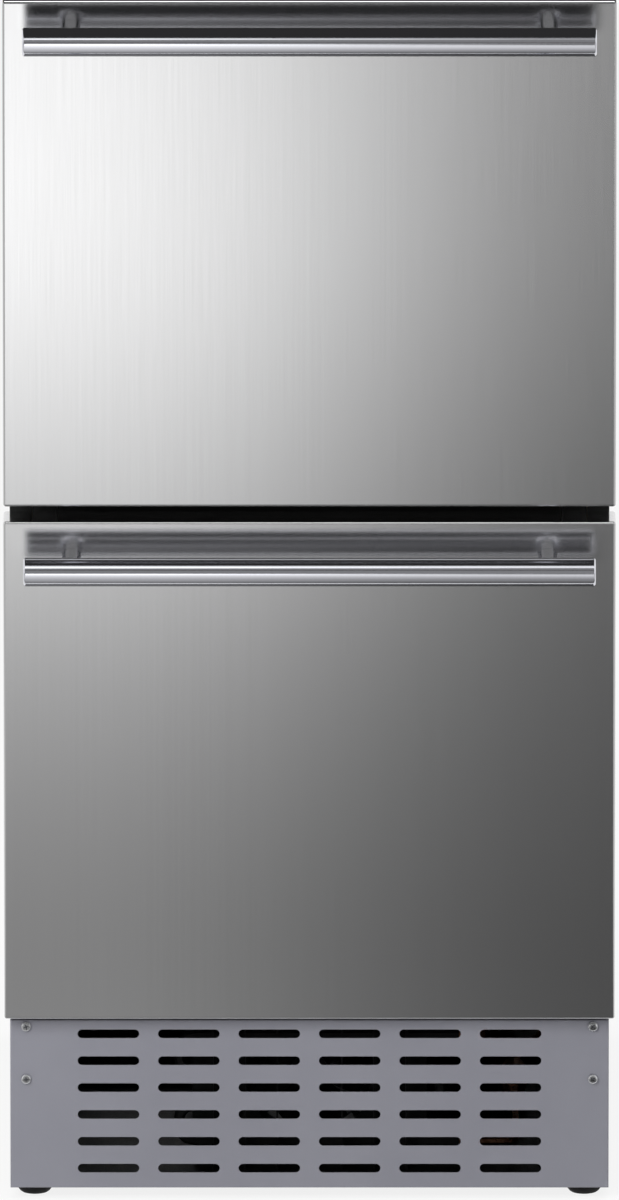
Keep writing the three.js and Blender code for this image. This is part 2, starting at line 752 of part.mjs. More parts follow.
// Floor of the machine room with folded sides, nut bosses for the feet and two corner posts in front.
function baseTray() {
  const rear = backInside;
  const inner = trayHalf - BASE_SHEET;
  const postTop = kickTop - BASE_SHEET - SEAT;
  const postInner = kickScrewX - CORNER_POST_REACH;
  const sideTop = trayTop + TRAY_SIDE_HEIGHT;
  const rearTop = trayTop + TRAY_SIDE_HEIGHT / 2;
  let tray = join(
    box(-trayHalf, trayHalf, trayFront, rear, FLOOR_CLEARANCE, trayTop),
    box(-trayHalf, -inner, trayFront, rear, FLOOR_CLEARANCE, sideTop),
    box(inner, trayHalf, trayFront, rear, FLOOR_CLEARANCE, sideTop),
    box(-trayHalf, trayHalf, rear - BASE_SHEET, rear, FLOOR_CLEARANCE, rearTop),
  );
  for (const [, side] of SIDES) {
    const post = outline(
      [side * trayHalf, postSheetY],
      [side * postInner, postSheetY],
      [side * postInner, postSheetY + BASE_SHEET],
      [side * inner, postSheetY + BASE_SHEET],
      [side * inner, postSheetY + CORNER_POST_DEPTH],
      [side * trayHalf, postSheetY + CORNER_POST_DEPTH],
    );
    tray = join(tray, extrudeZ(post, roomFloor, postTop));
  }
  for (const [x, y] of footPlaces()) {
    const bossTop = trayTop + FOOT_BOSS_HEIGHT;
    const bore = FOOT_STEM_RADIUS + RUNNING;
    tray = join(tray, rod([x, y, FLOOR_CLEARANCE], [x, y, bossTop], FOOT_BOSS_RADIUS, SLIGHT));
    tray = cut(tray, rod([x, y, 0], [x, y, CABINET_TOP], bore, SMALL));
  }
  for (const [x, z] of kickScrewPlaces()) {
    const hole = SCREW_SHANK_RADIUS + SEAT;
    tray = cut(tray, rod([x, kickY, z], [x, kickY + SCREW_LENGTH + OVERCUT, z], hole, SMALL));
  }
  return tray;
}

function footPlaces() {
  return [frontFootY, rearFootY].flatMap((y) => SIDES.map(([, side]) => [side * footX, y]));
}

function kickScrewPlaces() {
  const upper = kickTop - KICK_SCREW_DROP;
  return [upper, upper - KICK_SCREW_PITCH].flatMap((z) => SIDES.map(([, side]) => [side * kickScrewX, z]));
}

// A folded plate: face, side returns as deep as the cabinet's front, and short lips above and below.
function kickPlate() {
  const inner = halfCabinet - BASE_SHEET;
  const rear = -SEAT;
  const pressed = cut(
    box(-halfCabinet, halfCabinet, kickY, rear, FLOOR_CLEARANCE, kickTop),
    box(-inner, inner, kickY + BASE_SHEET, OVERCUT, trayTop, kickTop - BASE_SHEET),
    box(-inner, inner, kickY + KICK_LIP, OVERCUT, 0, CABINET_TOP),
  );
  const before = kickY - OVERCUT;
  const behind = kickY + BASE_SHEET + OVERCUT;
  const slots = spaced(SLOT_ROWS, slotPitchZ, (slotTop + slotBottom) / 2).flatMap((z) =>
    spaced(SLOT_COLUMNS, slotPitchX).map((x) => obround(x, z, SLOT_LENGTH, SLOT_HEIGHT)),
  );
  const cutters = slots.map((slot) => extrudeY(slot, before, behind, SMALL_ROUNDS));
  const holes = kickScrewPlaces().map(([x, z]) =>
    rod([x, before, z], [x, behind, z], SCREW_SHANK_RADIUS + SEAT, SMALL),
  );
  return cut(pressed, ...cutters, ...holes);
}

// Pan-head screw pointing towards +Y, its head's underside at y = 0.
function kickScrew() {
  const head = PAN_HEAD.map(([r, h]) => [r * SCREW_HEAD_RADIUS, -h * SCREW_HEAD_HEIGHT]);
  const shank = [
    [SCREW_SHANK_RADIUS, 0],
    [SCREW_SHANK_RADIUS, SCREW_LENGTH - SCREW_TIP],
    [0, SCREW_LENGTH],
  ];
  return turnedY([...head, ...shank], SMALL);
}

function levellingFoot() {
  const padTop = FLOOR_CLEARANCE - SEAT;
  const stemTop = padTop + FOOT_STEM_LENGTH;
  const stem = [
    [FOOT_STEM_RADIUS, padTop],
    [FOOT_STEM_RADIUS, stemTop - FOOT_STEM_CHAMFER],
    [FOOT_STEM_RADIUS - FOOT_STEM_CHAMFER, stemTop],
    [0, stemTop],
  ];
  return turnedZ([...FOOT_PAD.map(([r, h]) => [r * FOOT_RADIUS, h * padTop]), ...stem], SMALL);
}

// Rear cover of the machine room: louvre slots in two blocks, and the hole of the cord gland.
function rearCover() {
  const half = trayHalf - BASE_SHEET - SEAT;
  const outside = rearCoverY + SHEET;
  const plate = box(-half, half, rearCoverY, outside, roomFloor, underDeck);
  const folded = box(-half, half, rearCoverY, rearCoverY + COVER_LIP, underDeck - SHEET, underDeck);
  const slots = spaced(LOUVRE_ROWS, LOUVRE_PITCH_Z, deckRear - LOUVRE_DROP).flatMap((z) =>
    spaced(LOUVRE_COLUMNS, LOUVRE_PITCH_X).map((x) => obround(x, z, LOUVRE_LENGTH, LOUVRE_HEIGHT)),
  );
  const cutters = slots.map((slot) =>
    extrudeY(slot, rearCoverY - OVERCUT, outside + OVERCUT, SMALL_ROUNDS),
  );
  const glandHole = rod([GLAND_X, 0, GLAND_Z], [GLAND_X, CABINET_DEPTH, GLAND_Z], GLAND_RADIUS + SEAT);
  return cut(join(plate, folded), ...cutters, glandHole);
}

// A grommet clipped in the rear cover, open for the cord.
function cordGland() {
  const inner = rearCoverY - GLAND_INSIDE;
  const seat = rearCoverY + SHEET + SEAT;
  const flange = GLAND_RADIUS + GLAND_FLANGE;
  return turnedY(
    [
      [GLAND_BORE, inner],
      [GLAND_RADIUS, inner],
      [GLAND_RADIUS, seat],
      [flange, seat],
      [flange - GLAND_NOSE_WALL / 2, seat + GLAND_FLANGE],
      [GLAND_BORE + GLAND_NOSE_WALL, seat + GLAND_NOSE],
      [GLAND_BORE, seat + GLAND_NOSE],
      [GLAND_BORE, inner],
    ],
    SMALL,
  ).translate(GLAND_X, 0, GLAND_Z);
}

// ---------------------------------------------------------------- refrigeration
// Serpentine tube through thin fins; the fins are as tall as given and carry the coil.
function finnedCoil({ half, rows, pitch, bottomRow, y, fins, finFront, finRear, finBottom, finTop }) {
  const points = [];
  for (let row = 0; row < rows; row++) {
    const z = bottomRow + row * pitch;
    const ends = row % 2 ? [-half, half] : [half, -half];
    points.push([ends[0], y, z], [ends[1], y, z]);
  }
  const lead = half + pitch / 2;
  points[0] = [lead, y, bottomRow];
  points[points.length - 1] = [lead, y, bottomRow + (rows - 1) * pitch];
  let coil = pipe(points, COIL_TUBE_RADIUS, pitch / 2);
  for (const x of spaced(fins, (2 * half - pitch) / fins)) {
    coil = join(coil, box(x - FIN / 2, x + FIN / 2, finFront, finRear, finBottom, finTop));
  }
  return coil;
}

function condenserCoil() {
  return finnedCoil({
    half: condenserHalf,
    rows: CONDENSER_ROWS,
    pitch: condenserPitch,
    bottomRow: condenserBottomRow,
    y: CONDENSER_Y,
    fins: CONDENSER_FINS,
    finFront: CONDENSER_Y - CONDENSER_DEPTH / 2,
    finRear: CONDENSER_Y + CONDENSER_DEPTH / 2,
    finBottom: roomFloor,
    finTop: condenserTopRow + condenserPitch * CONDENSER_HEAD,
  });
}

function evaporatorCoil() {
  return finnedCoil({
    half: coverHalf - EVAPORATOR_SIDE_GAP,
    rows: EVAPORATOR_ROWS,
    pitch: evaporatorPitch,
    bottomRow: evaporatorBottom + evaporatorPitch / 2,
    y: coverRear - EVAPORATOR_DEPTH / 2,
    fins: EVAPORATOR_FINS,
    finFront: coverRear - EVAPORATOR_DEPTH,
    finRear: coverRear,
    finBottom: evaporatorBottom,
    finTop: evaporatorTop,
  });
}

// Four arms across a round opening carry the motor; the shaft ends at shaftTo. The axis is x = 0, z = 0.
function motorOnSpider(armFrom, armTo, motorFrom, motorTo, shaftTo) {
  const reach = FAN_OPENING + COLLAR_WALL;
  const w = SPIDER_WIDTH / 2;
  const arms = join(
    box(-reach, reach, armFrom, armTo, -w, w),
    box(-w, w, armFrom, armTo, -reach, reach),
  );
  arms.rotateY(Math.PI / 4);
  return join(
    arms,
    rod([0, motorFrom, 0], [0, motorTo, 0], MOTOR_RADIUS),
    rod([0, motorFrom, 0], [0, shaftTo, 0], SHAFT_RADIUS, SMALL),
  );
}

// Hub with pitched blades round the y axis, from y = 0 to the hub's depth.
function fanBlade() {
  const root = FAN_HUB_RADIUS - BLADE_BITE;
  const scaled = ([across, out]) => [across * FAN_RADIUS, out * FAN_RADIUS];
  const rootHalf = BLADE_ROOT * FAN_RADIUS;
  const [bow, shoulder] = BLADE_LEADING.map(scaled);
  const [crown, corner] = BLADE_TIP.map(scaled);
  const blade = new THREE.Shape();
  blade.moveTo(-rootHalf, root);
  blade.quadraticCurveTo(...bow, ...shoulder);
  blade.quadraticCurveTo(...crown, ...corner);
  blade.quadraticCurveTo(...scaled(BLADE_TRAILING), rootHalf, root);
  let fan = rod([0, 0, 0], [0, FAN_HUB_DEPTH, 0], FAN_HUB_RADIUS);
  for (let i = 0; i < FAN_BLADES; i++) {
    const vane = extrudeY(blade, -BLADE_THICKNESS / 2, BLADE_THICKNESS / 2)
      .rotateZ(FAN_PITCH)
      .translate(0, FAN_HUB_DEPTH / 2, 0)
      .rotateY((i * 2 * Math.PI) / FAN_BLADES);
    fan = join(fan, vane);
  }
  const bore = rod([0, -OVERCUT, 0], [0, FAN_HUB_DEPTH + OVERCUT, 0], SHAFT_RADIUS + RUNNING, SMALL);
  return cut(fan, bore);
}

// Upright plate with a round collar, standing behind the condenser and carrying the motor.
function condenserFanHousing() {
  const half = condenserHalf - HOUSING_INSET;
  const top = deckFront - BASE_SHEET - SEAT;
  const z = condenserFanZ;
  const plate = box(-half, half, HOUSING_Y, HOUSING_Y + HOUSING_WALL, roomFloor, top);
  const foot = box(-half, half, HOUSING_Y, collarRear, roomFloor, roomFloor + HOUSING_WALL);
  const collar = rod([0, HOUSING_Y, z], [0, collarRear, z], FAN_OPENING + COLLAR_WALL, LARGE);
  const opening = rod([0, 0, z], [0, deckStep, z], FAN_OPENING, LARGE);
  const armRear = collarRear - SPIDER_SETBACK;
  const shaftEnd = condenserMotorFront - RUNNING - FAN_HUB_DEPTH;
  const motor = motorOnSpider(
    armRear - SPIDER_DEPTH,
    armRear,
    condenserMotorFront,
    collarRear,
    shaftEnd,
  ).translate(0, 0, z);
  return join(cut(join(plate, foot, collar), opening), motor);
}

function evaporatorCover() {
  const behind = coverFront + COVER_WALL;
  const dish = cut(
    extrudeY(
      roundedRectangle(-coverHalf, coverHalf, coverBottom, coverTop, COVER_CORNER),
      coverFront,
      coverRear,
    ),
    box(
      -coverHalf + COVER_WALL,
      coverHalf - COVER_WALL,
      behind,
      coverRear + OVERCUT,
      coverBottom + COVER_WALL,
      coverTop - COVER_WALL,
    ),
  );
  const z = evaporatorFanZ;
  const opening = rod([0, coverFront - OVERCUT, z], [0, behind + OVERCUT, z], FAN_OPENING, LARGE);
  const intakes = spaced(INTAKE_ROWS, INTAKE_PITCH_Z, coverBottom + INTAKE_RISE).flatMap((height) =>
    spaced(INTAKE_COLUMNS, INTAKE_PITCH_X).map((x) => obround(x, height, INTAKE_LENGTH, INTAKE_HEIGHT)),
  );
  const cutters = intakes.map((slot) =>
    extrudeY(slot, coverFront - OVERCUT, behind + OVERCUT, SMALL_ROUNDS),
  );
  const ring = new THREE.Shape().absarc(0, 0, GRILLE_RING + GRILLE_BAR / 2, 0, 2 * Math.PI);
  ring.holes.push(new THREE.Path().absarc(0, 0, GRILLE_RING - GRILLE_BAR / 2, 0, 2 * Math.PI));
  const grille = extrudeY(ring, coverFront, behind, RING_ROUNDS);
  const shaftEnd = evaporatorMotorRear + RUNNING + FAN_HUB_DEPTH;
  const motor = motorOnSpider(coverFront, behind, coverFront, evaporatorMotorRear, shaftEnd);
  return join(cut(dish, opening, ...cutters), join(motor, grille).translate(0, 0, z));
}

// Welded pot on a base plate, with a terminal cover and stubs for the two lines.
function compressor() {
  const r = COMPRESSOR_RADIUS;
  const h = COMPRESSOR_HEIGHT;
  const seam = potBottom + h * SEAM_SHARE;
  const shell = ([share, rise]) => [share * r, potBottom + rise * h];
  const body = turnedZ([
    ...POT_BELOW.map(shell),
    [r, seam - SEAM_HALF],
    [r + SEAM_HALF, seam - SEAM_HALF],
    [r + SEAM_HALF, seam + SEAM_HALF],
    [r, seam + SEAM_HALF],
    ...POT_ABOVE.map(shell),
  ]).translate(compressorX, compressorY, 0);
  const plate = box(
    compressorX - POT_PLATE_REACH,
    compressorX + POT_PLATE_REACH,
    compressorY - r,
    compressorY + r,
    potBottom - POT_PLATE_BELOW,
    potBottom + POT_PLATE_ABOVE,
  );
  const mounts = SIDES.flatMap(([, u]) =>
    SIDES.map(([, v]) => {
      const x = compressorX + u * (POT_PLATE_REACH - MOUNT_INSET);
      const y = compressorY + v * (r - MOUNT_INSET);
      return rod([x, y, roomFloor], [x, y, potBottom + MOUNT_ABOVE], MOUNT_RADIUS, SMALL);
    }),
  );
  const terminals = box(
    compressorX - r - TERMINAL_PROUD,
    compressorX - r + TERMINAL_BITE,
    compressorY - TERMINAL_HALF,
    compressorY + TERMINAL_HALF,
    potBottom + h * TERMINAL_LOW_SHARE,
    potBottom + h * TERMINAL_HIGH_SHARE,
  );
  const stubs = [dischargeStub(), suctionStub()].map(([from, to]) =>
    rod(from, to, PIPE_RADIUS + STUB_WALL, SMALL),
  );
  return join(body, plate, terminals, ...mounts, ...stubs);
}

function dischargeStub() {
  const x = compressorX + COMPRESSOR_RADIUS / 2;
  return [
    [x, compressorY, condenserTopRow],
    [x, compressorY - COMPRESSOR_RADIUS - STUB_LENGTH, condenserTopRow],
  ];
}

function suctionStub() {
  const x = compressorX - COMPRESSOR_RADIUS / 2;
  const z = potBottom + COMPRESSOR_HEIGHT * SUCTION_SHARE;
  return [
    [x, compressorY, z],
    [x, compressorY + COMPRESSOR_RADIUS + STUB_LENGTH, z],
  ];
}

function dischargeLine() {
  const [, [x, end, z]] = dischargeStub();
  return pipe(
    [
      [condenserLead, CONDENSER_Y, z],
      [x, CONDENSER_Y, z],
      [x, end - SEAT, z],
    ],
    PIPE_RADIUS,
  );
}

function suctionLine() {
  const [, [x, start, z]] = suctionStub();
  const rear = start + SUCTION_SETOUT;
  return pipe(
    [
      [x, start + SEAT, z],
      [x, rear, z],
      [x, rear, underDeck],
    ],
    PIPE_RADIUS,
  );
}

// Drier can with the tube from the condenser and the capillary that climbs to the cold compartment.
function filterDrier() {
  const z = condenserBottomRow;
  const rear = drierFront + DRIER_LENGTH;
  const can = turnedY([
    [0, 0],
    [DRIER_NECK, 0],
    [DRIER_RADIUS, DRIER_CONE],
    [DRIER_RADIUS, DRIER_LENGTH - DRIER_CONE],
    [DRIER_NECK, DRIER_LENGTH],
    [0, DRIER_LENGTH],
  ]).translate(drierX, drierFront, z);
  const inlet = pipe(
    [
      [condenserLead, CONDENSER_Y, z],
      [drierX, CONDENSER_Y, z],
      [drierX, drierFront + OVERCUT, z],
    ],
    INLET_RADIUS,
  );
  const riserX = drierX + RISER_SIDE;
  const riserY = rear + RISER_BEHIND;
  const capillary = pipe(
    [
      [drierX, rear - OVERCUT, z],
      [drierX, rear + CAPILLARY_START, z],
      [riserX, riserY, z + RISER_ABOVE],
      [riserX, riserY, underDeck],
    ],
    CAPILLARY_RADIUS,
  );
  return join(can, inlet, capillary);
}

function dripTray() {
  const left = -(halfCabinet - PAN_SIDE_GAP);
  const right = compressorX - COMPRESSOR_RADIUS - PAN_COMPRESSOR_GAP;
  const front = compressorY - PAN_FRONT_REACH;
  const rear = compressorY + PAN_REAR_REACH;
  const top = roomFloor + PAN_HEIGHT;
  const tray = (inset) =>
    roundedRectangle(left + inset, right - inset, front + inset, rear - inset, PAN_CORNER);
  return cut(
    extrudeZ(tray(0), roomFloor, top),
    extrudeZ(tray(PAN_WALL), roomFloor + PAN_WALL, top + OVERCUT),
  );
}

// ---------------------------------------------------------------- controls and light
function buttonPlaces() {
  const z = linerTop - SEAT - CONTROL_HEIGHT / 2;
  return spaced(BUTTONS, BUTTON_PITCH, BUTTON_OFFSET).map((x) => [x, z]);
}

function controlPanel() {
  const top = linerTop - SEAT;
  const bottom = top - CONTROL_HEIGHT;
  const front = CONTROL_FRONT;
  const profile = outline(
    [front, bottom],
    [front + CONTROL_FLAT, bottom],
    [front + CONTROL_DEPTH, top - CONTROL_REAR_HEIGHT],
    [front + CONTROL_DEPTH, top],
    [front, top],
  );
  const pocketRear = front + BUTTON_LENGTH - BUTTON_PROUD + BUTTON_TRAVEL + RUNNING;
  const pockets = buttonPlaces().map(([x, z]) =>
    rod([x, front - OVERCUT, z], [x, pocketRear, z], BUTTON_RADIUS + SEAT),
  );
  const [, middle] = buttonPlaces()[0];
  const display = extrudeY(
    roundedRectangle(
      DISPLAY_OFFSET - DISPLAY_WIDTH / 2,
      DISPLAY_OFFSET + DISPLAY_WIDTH / 2,
      middle - DISPLAY_HEIGHT / 2,
      middle + DISPLAY_HEIGHT / 2,
      DISPLAY_CORNER,
    ),
    front - OVERCUT,
    front + DISPLAY_RECESS,
  );
  return cut(extrudeX(profile, -CONTROL_WIDTH / 2, CONTROL_WIDTH / 2), ...pockets, display);
}

// Round cap whose face is at y = 0, pointing towards +Y.
function controlButton() {
  return turnedY([
    [0, 0],
    [BUTTON_RADIUS - BUTTON_EDGE, 0],
    [BUTTON_RADIUS, BUTTON_EDGE],
    [BUTTON_RADIUS, BUTTON_LENGTH],
    [0, BUTTON_LENGTH],
  ]);
}

function interiorLight() {
  const top = linerTop - SEAT;
  const front = CONTROL_FRONT + CONTROL_DEPTH + LAMP_GAP;
  const rear = front + LAMP_DEPTH;
  const edge = LAMP_EDGE.map(([run, fall]) => [run * LAMP_DEPTH, fall * LAMP_HEIGHT]);
  const fore = edge.map(([run, fall]) => [front + run, top - fall]);
  const aft = edge.map(([run, fall]) => [rear - run, top - fall]).reverse();
  return extrudeX(outline([front, top], ...fore, ...aft, [rear, top]), -LAMP_WIDTH / 2, LAMP_WIDTH / 2);
}

// ---------------------------------------------------------------- slides
// A channel in x and z: its web at webX, its legs reaching legX, half as tall as given.
function channel(webX, legX, half, steel) {
  const inwards = Math.sign(legX - webX);
  return outline(
    [webX, -half],
    [legX, -half],
    [legX, -half + steel],
    [webX + inwards * steel, -half + steel],
    [webX + inwards * steel, half - steel],
    [legX, half - steel],
    [legX, half],
    [webX, half],
  );
}

// The three nested members of a slide on the +X side: places in x measured from the liner wall inwards.
function slideSections() {
  const s = SLIDE_STEEL;
  const outerWeb = halfLiner - SEAT;
  const innerWeb = outerWeb - SLIDE_WIDTH;
  const outerHalf = SLIDE_HEIGHT / 2;
  const middleHalf = outerHalf - s - RUNNING;
  const innerHalf = middleHalf - s - RUNNING;
  const lipX = innerWeb + 2 * s;
  const outer = outline(
    [outerWeb, -outerHalf],
    [lipX, -outerHalf],
    [lipX, -outerHalf + SLIDE_LIP],
    [lipX + s, -outerHalf + SLIDE_LIP],
    [lipX + s, -outerHalf + s],
    [outerWeb - s, -outerHalf + s],
    [outerWeb - s, outerHalf - s],
    [lipX + s, outerHalf - s],
    [lipX + s, outerHalf - SLIDE_LIP],
    [lipX, outerHalf - SLIDE_LIP],
    [lipX, outerHalf],
    [outerWeb, outerHalf],
  );
  const middleWeb = outerWeb - s - RUNNING;
  const middle = channel(middleWeb, lipX + s + RUNNING, middleHalf, s);
  const inner = channel(innerWeb, middleWeb - s - RUNNING, innerHalf, s);
  return { outer, middle, inner };
}

function slideMember(shape, side, z) {
  const member = extrudeY(shape, SLIDE_FRONT, SLIDE_FRONT + slideLength).translate(0, 0, z);
  return side > 0 ? member : member.rotateZ(Math.PI).translate(0, 2 * SLIDE_FRONT + slideLength, 0);
}

// ---------------------------------------------------------------- drawers
// Steel pan: beveled face, four sides and a return lip behind.
function drawerSkin(bottom, top) {
  const half = halfFront;
  const e = FRONT_EDGE;
  const face = outline(
    [-half + e, bottom + e],
    [half - e, bottom + e],
    [half - e, top - e],
    [-half + e, top - e],
  );
  const block = join(
    new THREE.ExtrudeGeometry(face, {
      depth: skinRear - faceY - 2 * e,
      bevelEnabled: true,
      bevelThickness: e,
      bevelSize: e,
      bevelSegments: 3,
    })
      .rotateX(Math.PI / 2)
      .translate(0, skinRear - e, 0),
    box(-half, half, (faceY + skinRear) / 2, skinRear, bottom, top),
  );
  const lip = SKIN_LIP;
  return cut(
    block,
    box(-half + SKIN, half - SKIN, faceY + SKIN, skinRear - SKIN, bottom + SKIN, top - SKIN),
    box(-half + lip, half - lip, skinRear - 2 * SKIN, skinRear + OVERCUT, bottom + lip, top - lip),
  );
}

function foamCore(bottom, top) {
  const inset = SKIN + SEAT;
  const half = halfFront - inset;
  return box(-half, half, faceY + inset + FRONT_EDGE, skinRear - inset, bottom + inset, top - inset);
}

// Moulded plate that closes the skin, with a shallow recess inside the gasket.
function innerPanel(bottom, top) {
  const half = halfFront - PANEL_INSET;
  const low = bottom + PANEL_INSET;
  const high = top - PANEL_INSET;
  const recess = GASKET_SIDE_INSET + GASKET_WIDTH + PANEL_RECESS_MARGIN;
  const edge = half - recess;
  return cut(
    extrudeY(roundedRectangle(-half, half, low, high, PANEL_CORNER), skinRear + SEAT, panelRear),
    extrudeY(
      roundedRectangle(-edge, edge, low + recess, high - recess, PANEL_RECESS_CORNER),
      panelRear - PANEL_RECESS_DEPTH,
      panelRear + OVERCUT,
    ),
  );
}

function gasket(bottom, top) {
  const half = halfFront - GASKET_SIDE_INSET;
  const low = bottom + GASKET_END_INSET;
  const high = top - GASKET_END_INSET;
  const foot = panelRear + SEAT;
  const height = -SEAT - foot;
  const beads = GASKET_BEADS.map(([share, from, to]) => {
    const width = share * GASKET_WIDTH;
    const trim = (GASKET_WIDTH - width) / 2;
    const corner = GASKET_CORNER - trim;
    const shape = roundedRectangle(-half + trim, half - trim, low + trim, high - trim, corner);
    const inner = trim + width;
    shape.holes.push(roundedRectangle(-half + inner, half - inner, low + inner, high - inner, SEAT));
    return extrudeY(shape, foot + from * height, foot + to * height, SMALL_ROUNDS);
  });
  return join(...beads);
}

// Round bar with rounded ends, welded to two posts that stand on the steel face.
function handle(z) {
  const r = BAR_RADIUS;
  const e = BAR_EDGE;
  const chord = e * (1 - Math.SQRT1_2); // setback of the rounding's middle
  const end = [
    [0, halfBar],
    [r - e, halfBar],
    [r - chord, halfBar - chord],
    [r, halfBar - e],
  ];
  const otherEnd = end.map(([radius, reach]) => [radius, -reach]);
  const bar = turnedY([...otherEnd, ...end.reverse()], LARGE)
    .rotateZ(Math.PI / 2)
    .translate(0, barY, z);
  const posts = SIDES.map(([, side]) =>
    rod([side * postX, barY, z], [side * postX, faceY - SEAT, z], POST_RADIUS),
  );
  return join(bar, ...posts);
}

// Bin from a side view: walls, an outward rim, ribs on the floor and upright slots in both sides.
function drawerBox(profile, floor, top, ribRear) {
  const front = panelRear + SEAT;
  const half = boxHalf;
  const inner = half - BOX_WALL;
  const cavity = extrudeX(profile(BOX_WALL), -inner, inner);
  const floorTop = floor + BOX_WALL;
  const slots = spaced(VENTS, VENT_PITCH, (front + boxRear) / 2).map((y) => {
    const z = top - VENT_DROP - VENT_HEIGHT / 2;
    const slot = obround(y, z, VENT_WIDTH, VENT_HEIGHT);
    return extrudeX(slot, -half - OVERCUT, half + OVERCUT, SMALL_ROUNDS);
  });
  const rim = box(-half - BOX_RIM, half + BOX_RIM, front, boxRear, top - BOX_RIM_HEIGHT, top);
  const ribHalf = FLOOR_RIB_WIDTH / 2;
  const ribFront = front + FLOOR_RIB_MARGIN;
  const ribs = spaced(FLOOR_RIBS, FLOOR_RIB_PITCH).map((x) =>
    box(x - ribHalf, x + ribHalf, ribFront, ribRear, floorTop - BOX_WALL / 2, floorTop + FLOOR_RIB),
  );
  return join(cut(join(extrudeX(profile(0), -half, half), rim), cavity, ...slots), ...ribs);
}

function upperBoxProfile(inset) {
  const front = panelRear + SEAT;
  const floor = upperBoxBottom + inset;
  const top = upperBoxTop + (inset ? OVERCUT : 0);
  const side = new THREE.Shape();
  side.moveTo(front + inset, top);
  side.lineTo(front + inset, floor);
  side.lineTo(boxRear - BOX_CORNER, floor);
  side.absarc(boxRear - BOX_CORNER, upperBoxBottom + BOX_CORNER, BOX_CORNER - inset, -Math.PI / 2, 0);
  side.lineTo(boxRear - inset, top);
  return side;
}

// The lower box is stepped at the back, to clear the hump over the machine room.
function lowerBoxProfile(inset) {
  const front = panelRear + SEAT;
  const low = lowerBoxBottom + inset;
  const high = lowerBoxStep + inset;
  const top = lowerBoxTop + (inset ? OVERCUT : 0);
  const foot = lowerBoxFoot - inset;
  const side = new THREE.Shape();
  side.moveTo(front + inset, top);
  side.lineTo(front + inset, low);
  side.lineTo(foot, low);
  side.lineTo(foot + HUMP_SLOPE, high);
  side.lineTo(boxRear - BOX_CORNER, high);
  side.absarc(boxRear - BOX_CORNER, lowerBoxStep + BOX_CORNER, BOX_CORNER - inset, -Math.PI / 2, 0);
  side.lineTo(boxRear - inset, top);
  return side;
}

function addDrawer(name, bottom, top, barZ, boxGeometry, slideZ) {
  const drawer = new THREE.Group();
  refrigerator.add(drawer);
  add(name + "_drawer_skin", drawerSkin(bottom, top), brushedSteel, drawer);
  add(name + "_foam_core", foamCore(bottom, top), foam, drawer);
  add(name + "_inner_panel", innerPanel(bottom, top), whitePlastic, drawer);
  add(name + "_gasket", gasket(bottom, top), greyRubber, drawer);
  add(name + "_handle", handle(barZ), polishedSteel, drawer);
  add(name + "_drawer_box", boxGeometry, whitePlastic, drawer);
  const sections = slideSections();
  for (const [word, side] of SIDES) {
    const prefix = name + "_" + word;
    add(prefix + "_inner_rail", slideMember(sections.inner, side, slideZ), zincPlate, drawer);
    add(prefix + "_middle_rail", slideMember(sections.middle, side, slideZ), zincPlate);
    add(prefix + "_outer_rail", slideMember(sections.outer, side, slideZ), zincPlate);
  }
}

// ---------------------------------------------------------------- assembly
add("cabinet_shell", cabinetShell(), blackPaint);
add("back_panel", backPanel(), galvanised);
add("base_tray", baseTray(), blackPaint);
add("deck_plate", deckPlate(), galvanised);
add("insulation_foam", insulationFoam(), foam);
add("inner_liner", innerLiner(), whitePlastic);
add("front_frame", frontFrame(), blackPlastic);
add("mullion_bar", mullionBar(), blackPaint);
add("kick_plate", kickPlate(), greyPaint);

const SCREW_NAMES = ["upper_left", "upper_right", "lower_left", "lower_right"];
kickScrewPlaces().forEach(([x, z], i) => {
  const screw = add("kick_screw_" + SCREW_NAMES[i], kickScrew(), zincPlate);
  screw.position.set(x, kickY - SEAT, z);
});

const FOOT_NAMES = ["front_left", "front_right", "rear_left", "rear_right"];
footPlaces().forEach(([x, y], i) => {
  const foot = add("levelling_foot_" + FOOT_NAMES[i], levellingFoot(), blackRubber);
  foot.position.set(x, y, 0);
});

add("compressor", compressor(), blackPaint);
add("condenser_coil", condenserCoil(), blackPaint);
add("condenser_fan_housing", condenserFanHousing(), blackPlastic);
const condenserBlade = add("condenser_fan_blade", fanBlade(), blackPlastic);
condenserBlade.position.set(0, condenserMotorFront - RUNNING - FAN_HUB_DEPTH, condenserFanZ);
add("drip_tray", dripTray(), blackPlastic);
add("discharge_line", dischargeLine(), copper);
add("suction_line", suctionLine(), copper);
add("filter_drier", filterDrier(), copper);
add("rear_cover", rearCover(), galvanised);
add("cord_gland", cordGland(), blackRubber);
add("evaporator_coil", evaporatorCoil(), aluminium);
add("evaporator_cover", evaporatorCover(), whitePlastic);
const evaporatorBlade = add("evaporator_fan_blade", fanBlade(), greyPlastic);
evaporatorBlade.position.set(0, evaporatorMotorRear + RUNNING, evaporatorFanZ);
add("control_panel", controlPanel(), greyPlastic);
add("interior_light", interiorLight(), lampPlastic);

buttonPlaces().forEach(([x, z], i) => {
  const button = add("control_button_" + (i + 1), controlButton(), blackPlastic);
  button.position.set(x, CONTROL_FRONT - BUTTON_PROUD, z);
});

const upperRibRear = boxRear - BOX_CORNER - FLOOR_RIB_MARGIN;
const lowerRibRear = lowerBoxFoot - FLOOR_RIB_MARGIN;
const upperBox = drawerBox(upperBoxProfile, upperBoxBottom, upperBoxTop, upperRibRear);
const lowerBox = drawerBox(lowerBoxProfile, lowerBoxBottom, lowerBoxTop, lowerRibRear);
const upperBarZ = upperFrontTop - UPPER_BAR_DROP;
const lowerBarZ = lowerFrontTop - LOWER_BAR_DROP;
addDrawer("upper", upperFrontBottom, upperFrontTop, upperBarZ, upperBox, upperSlideZ);
addDrawer("lower", LOWER_FRONT_BOTTOM, lowerFrontTop, lowerBarZ, lowerBox, lowerSlideZ);

export default refrigerator;
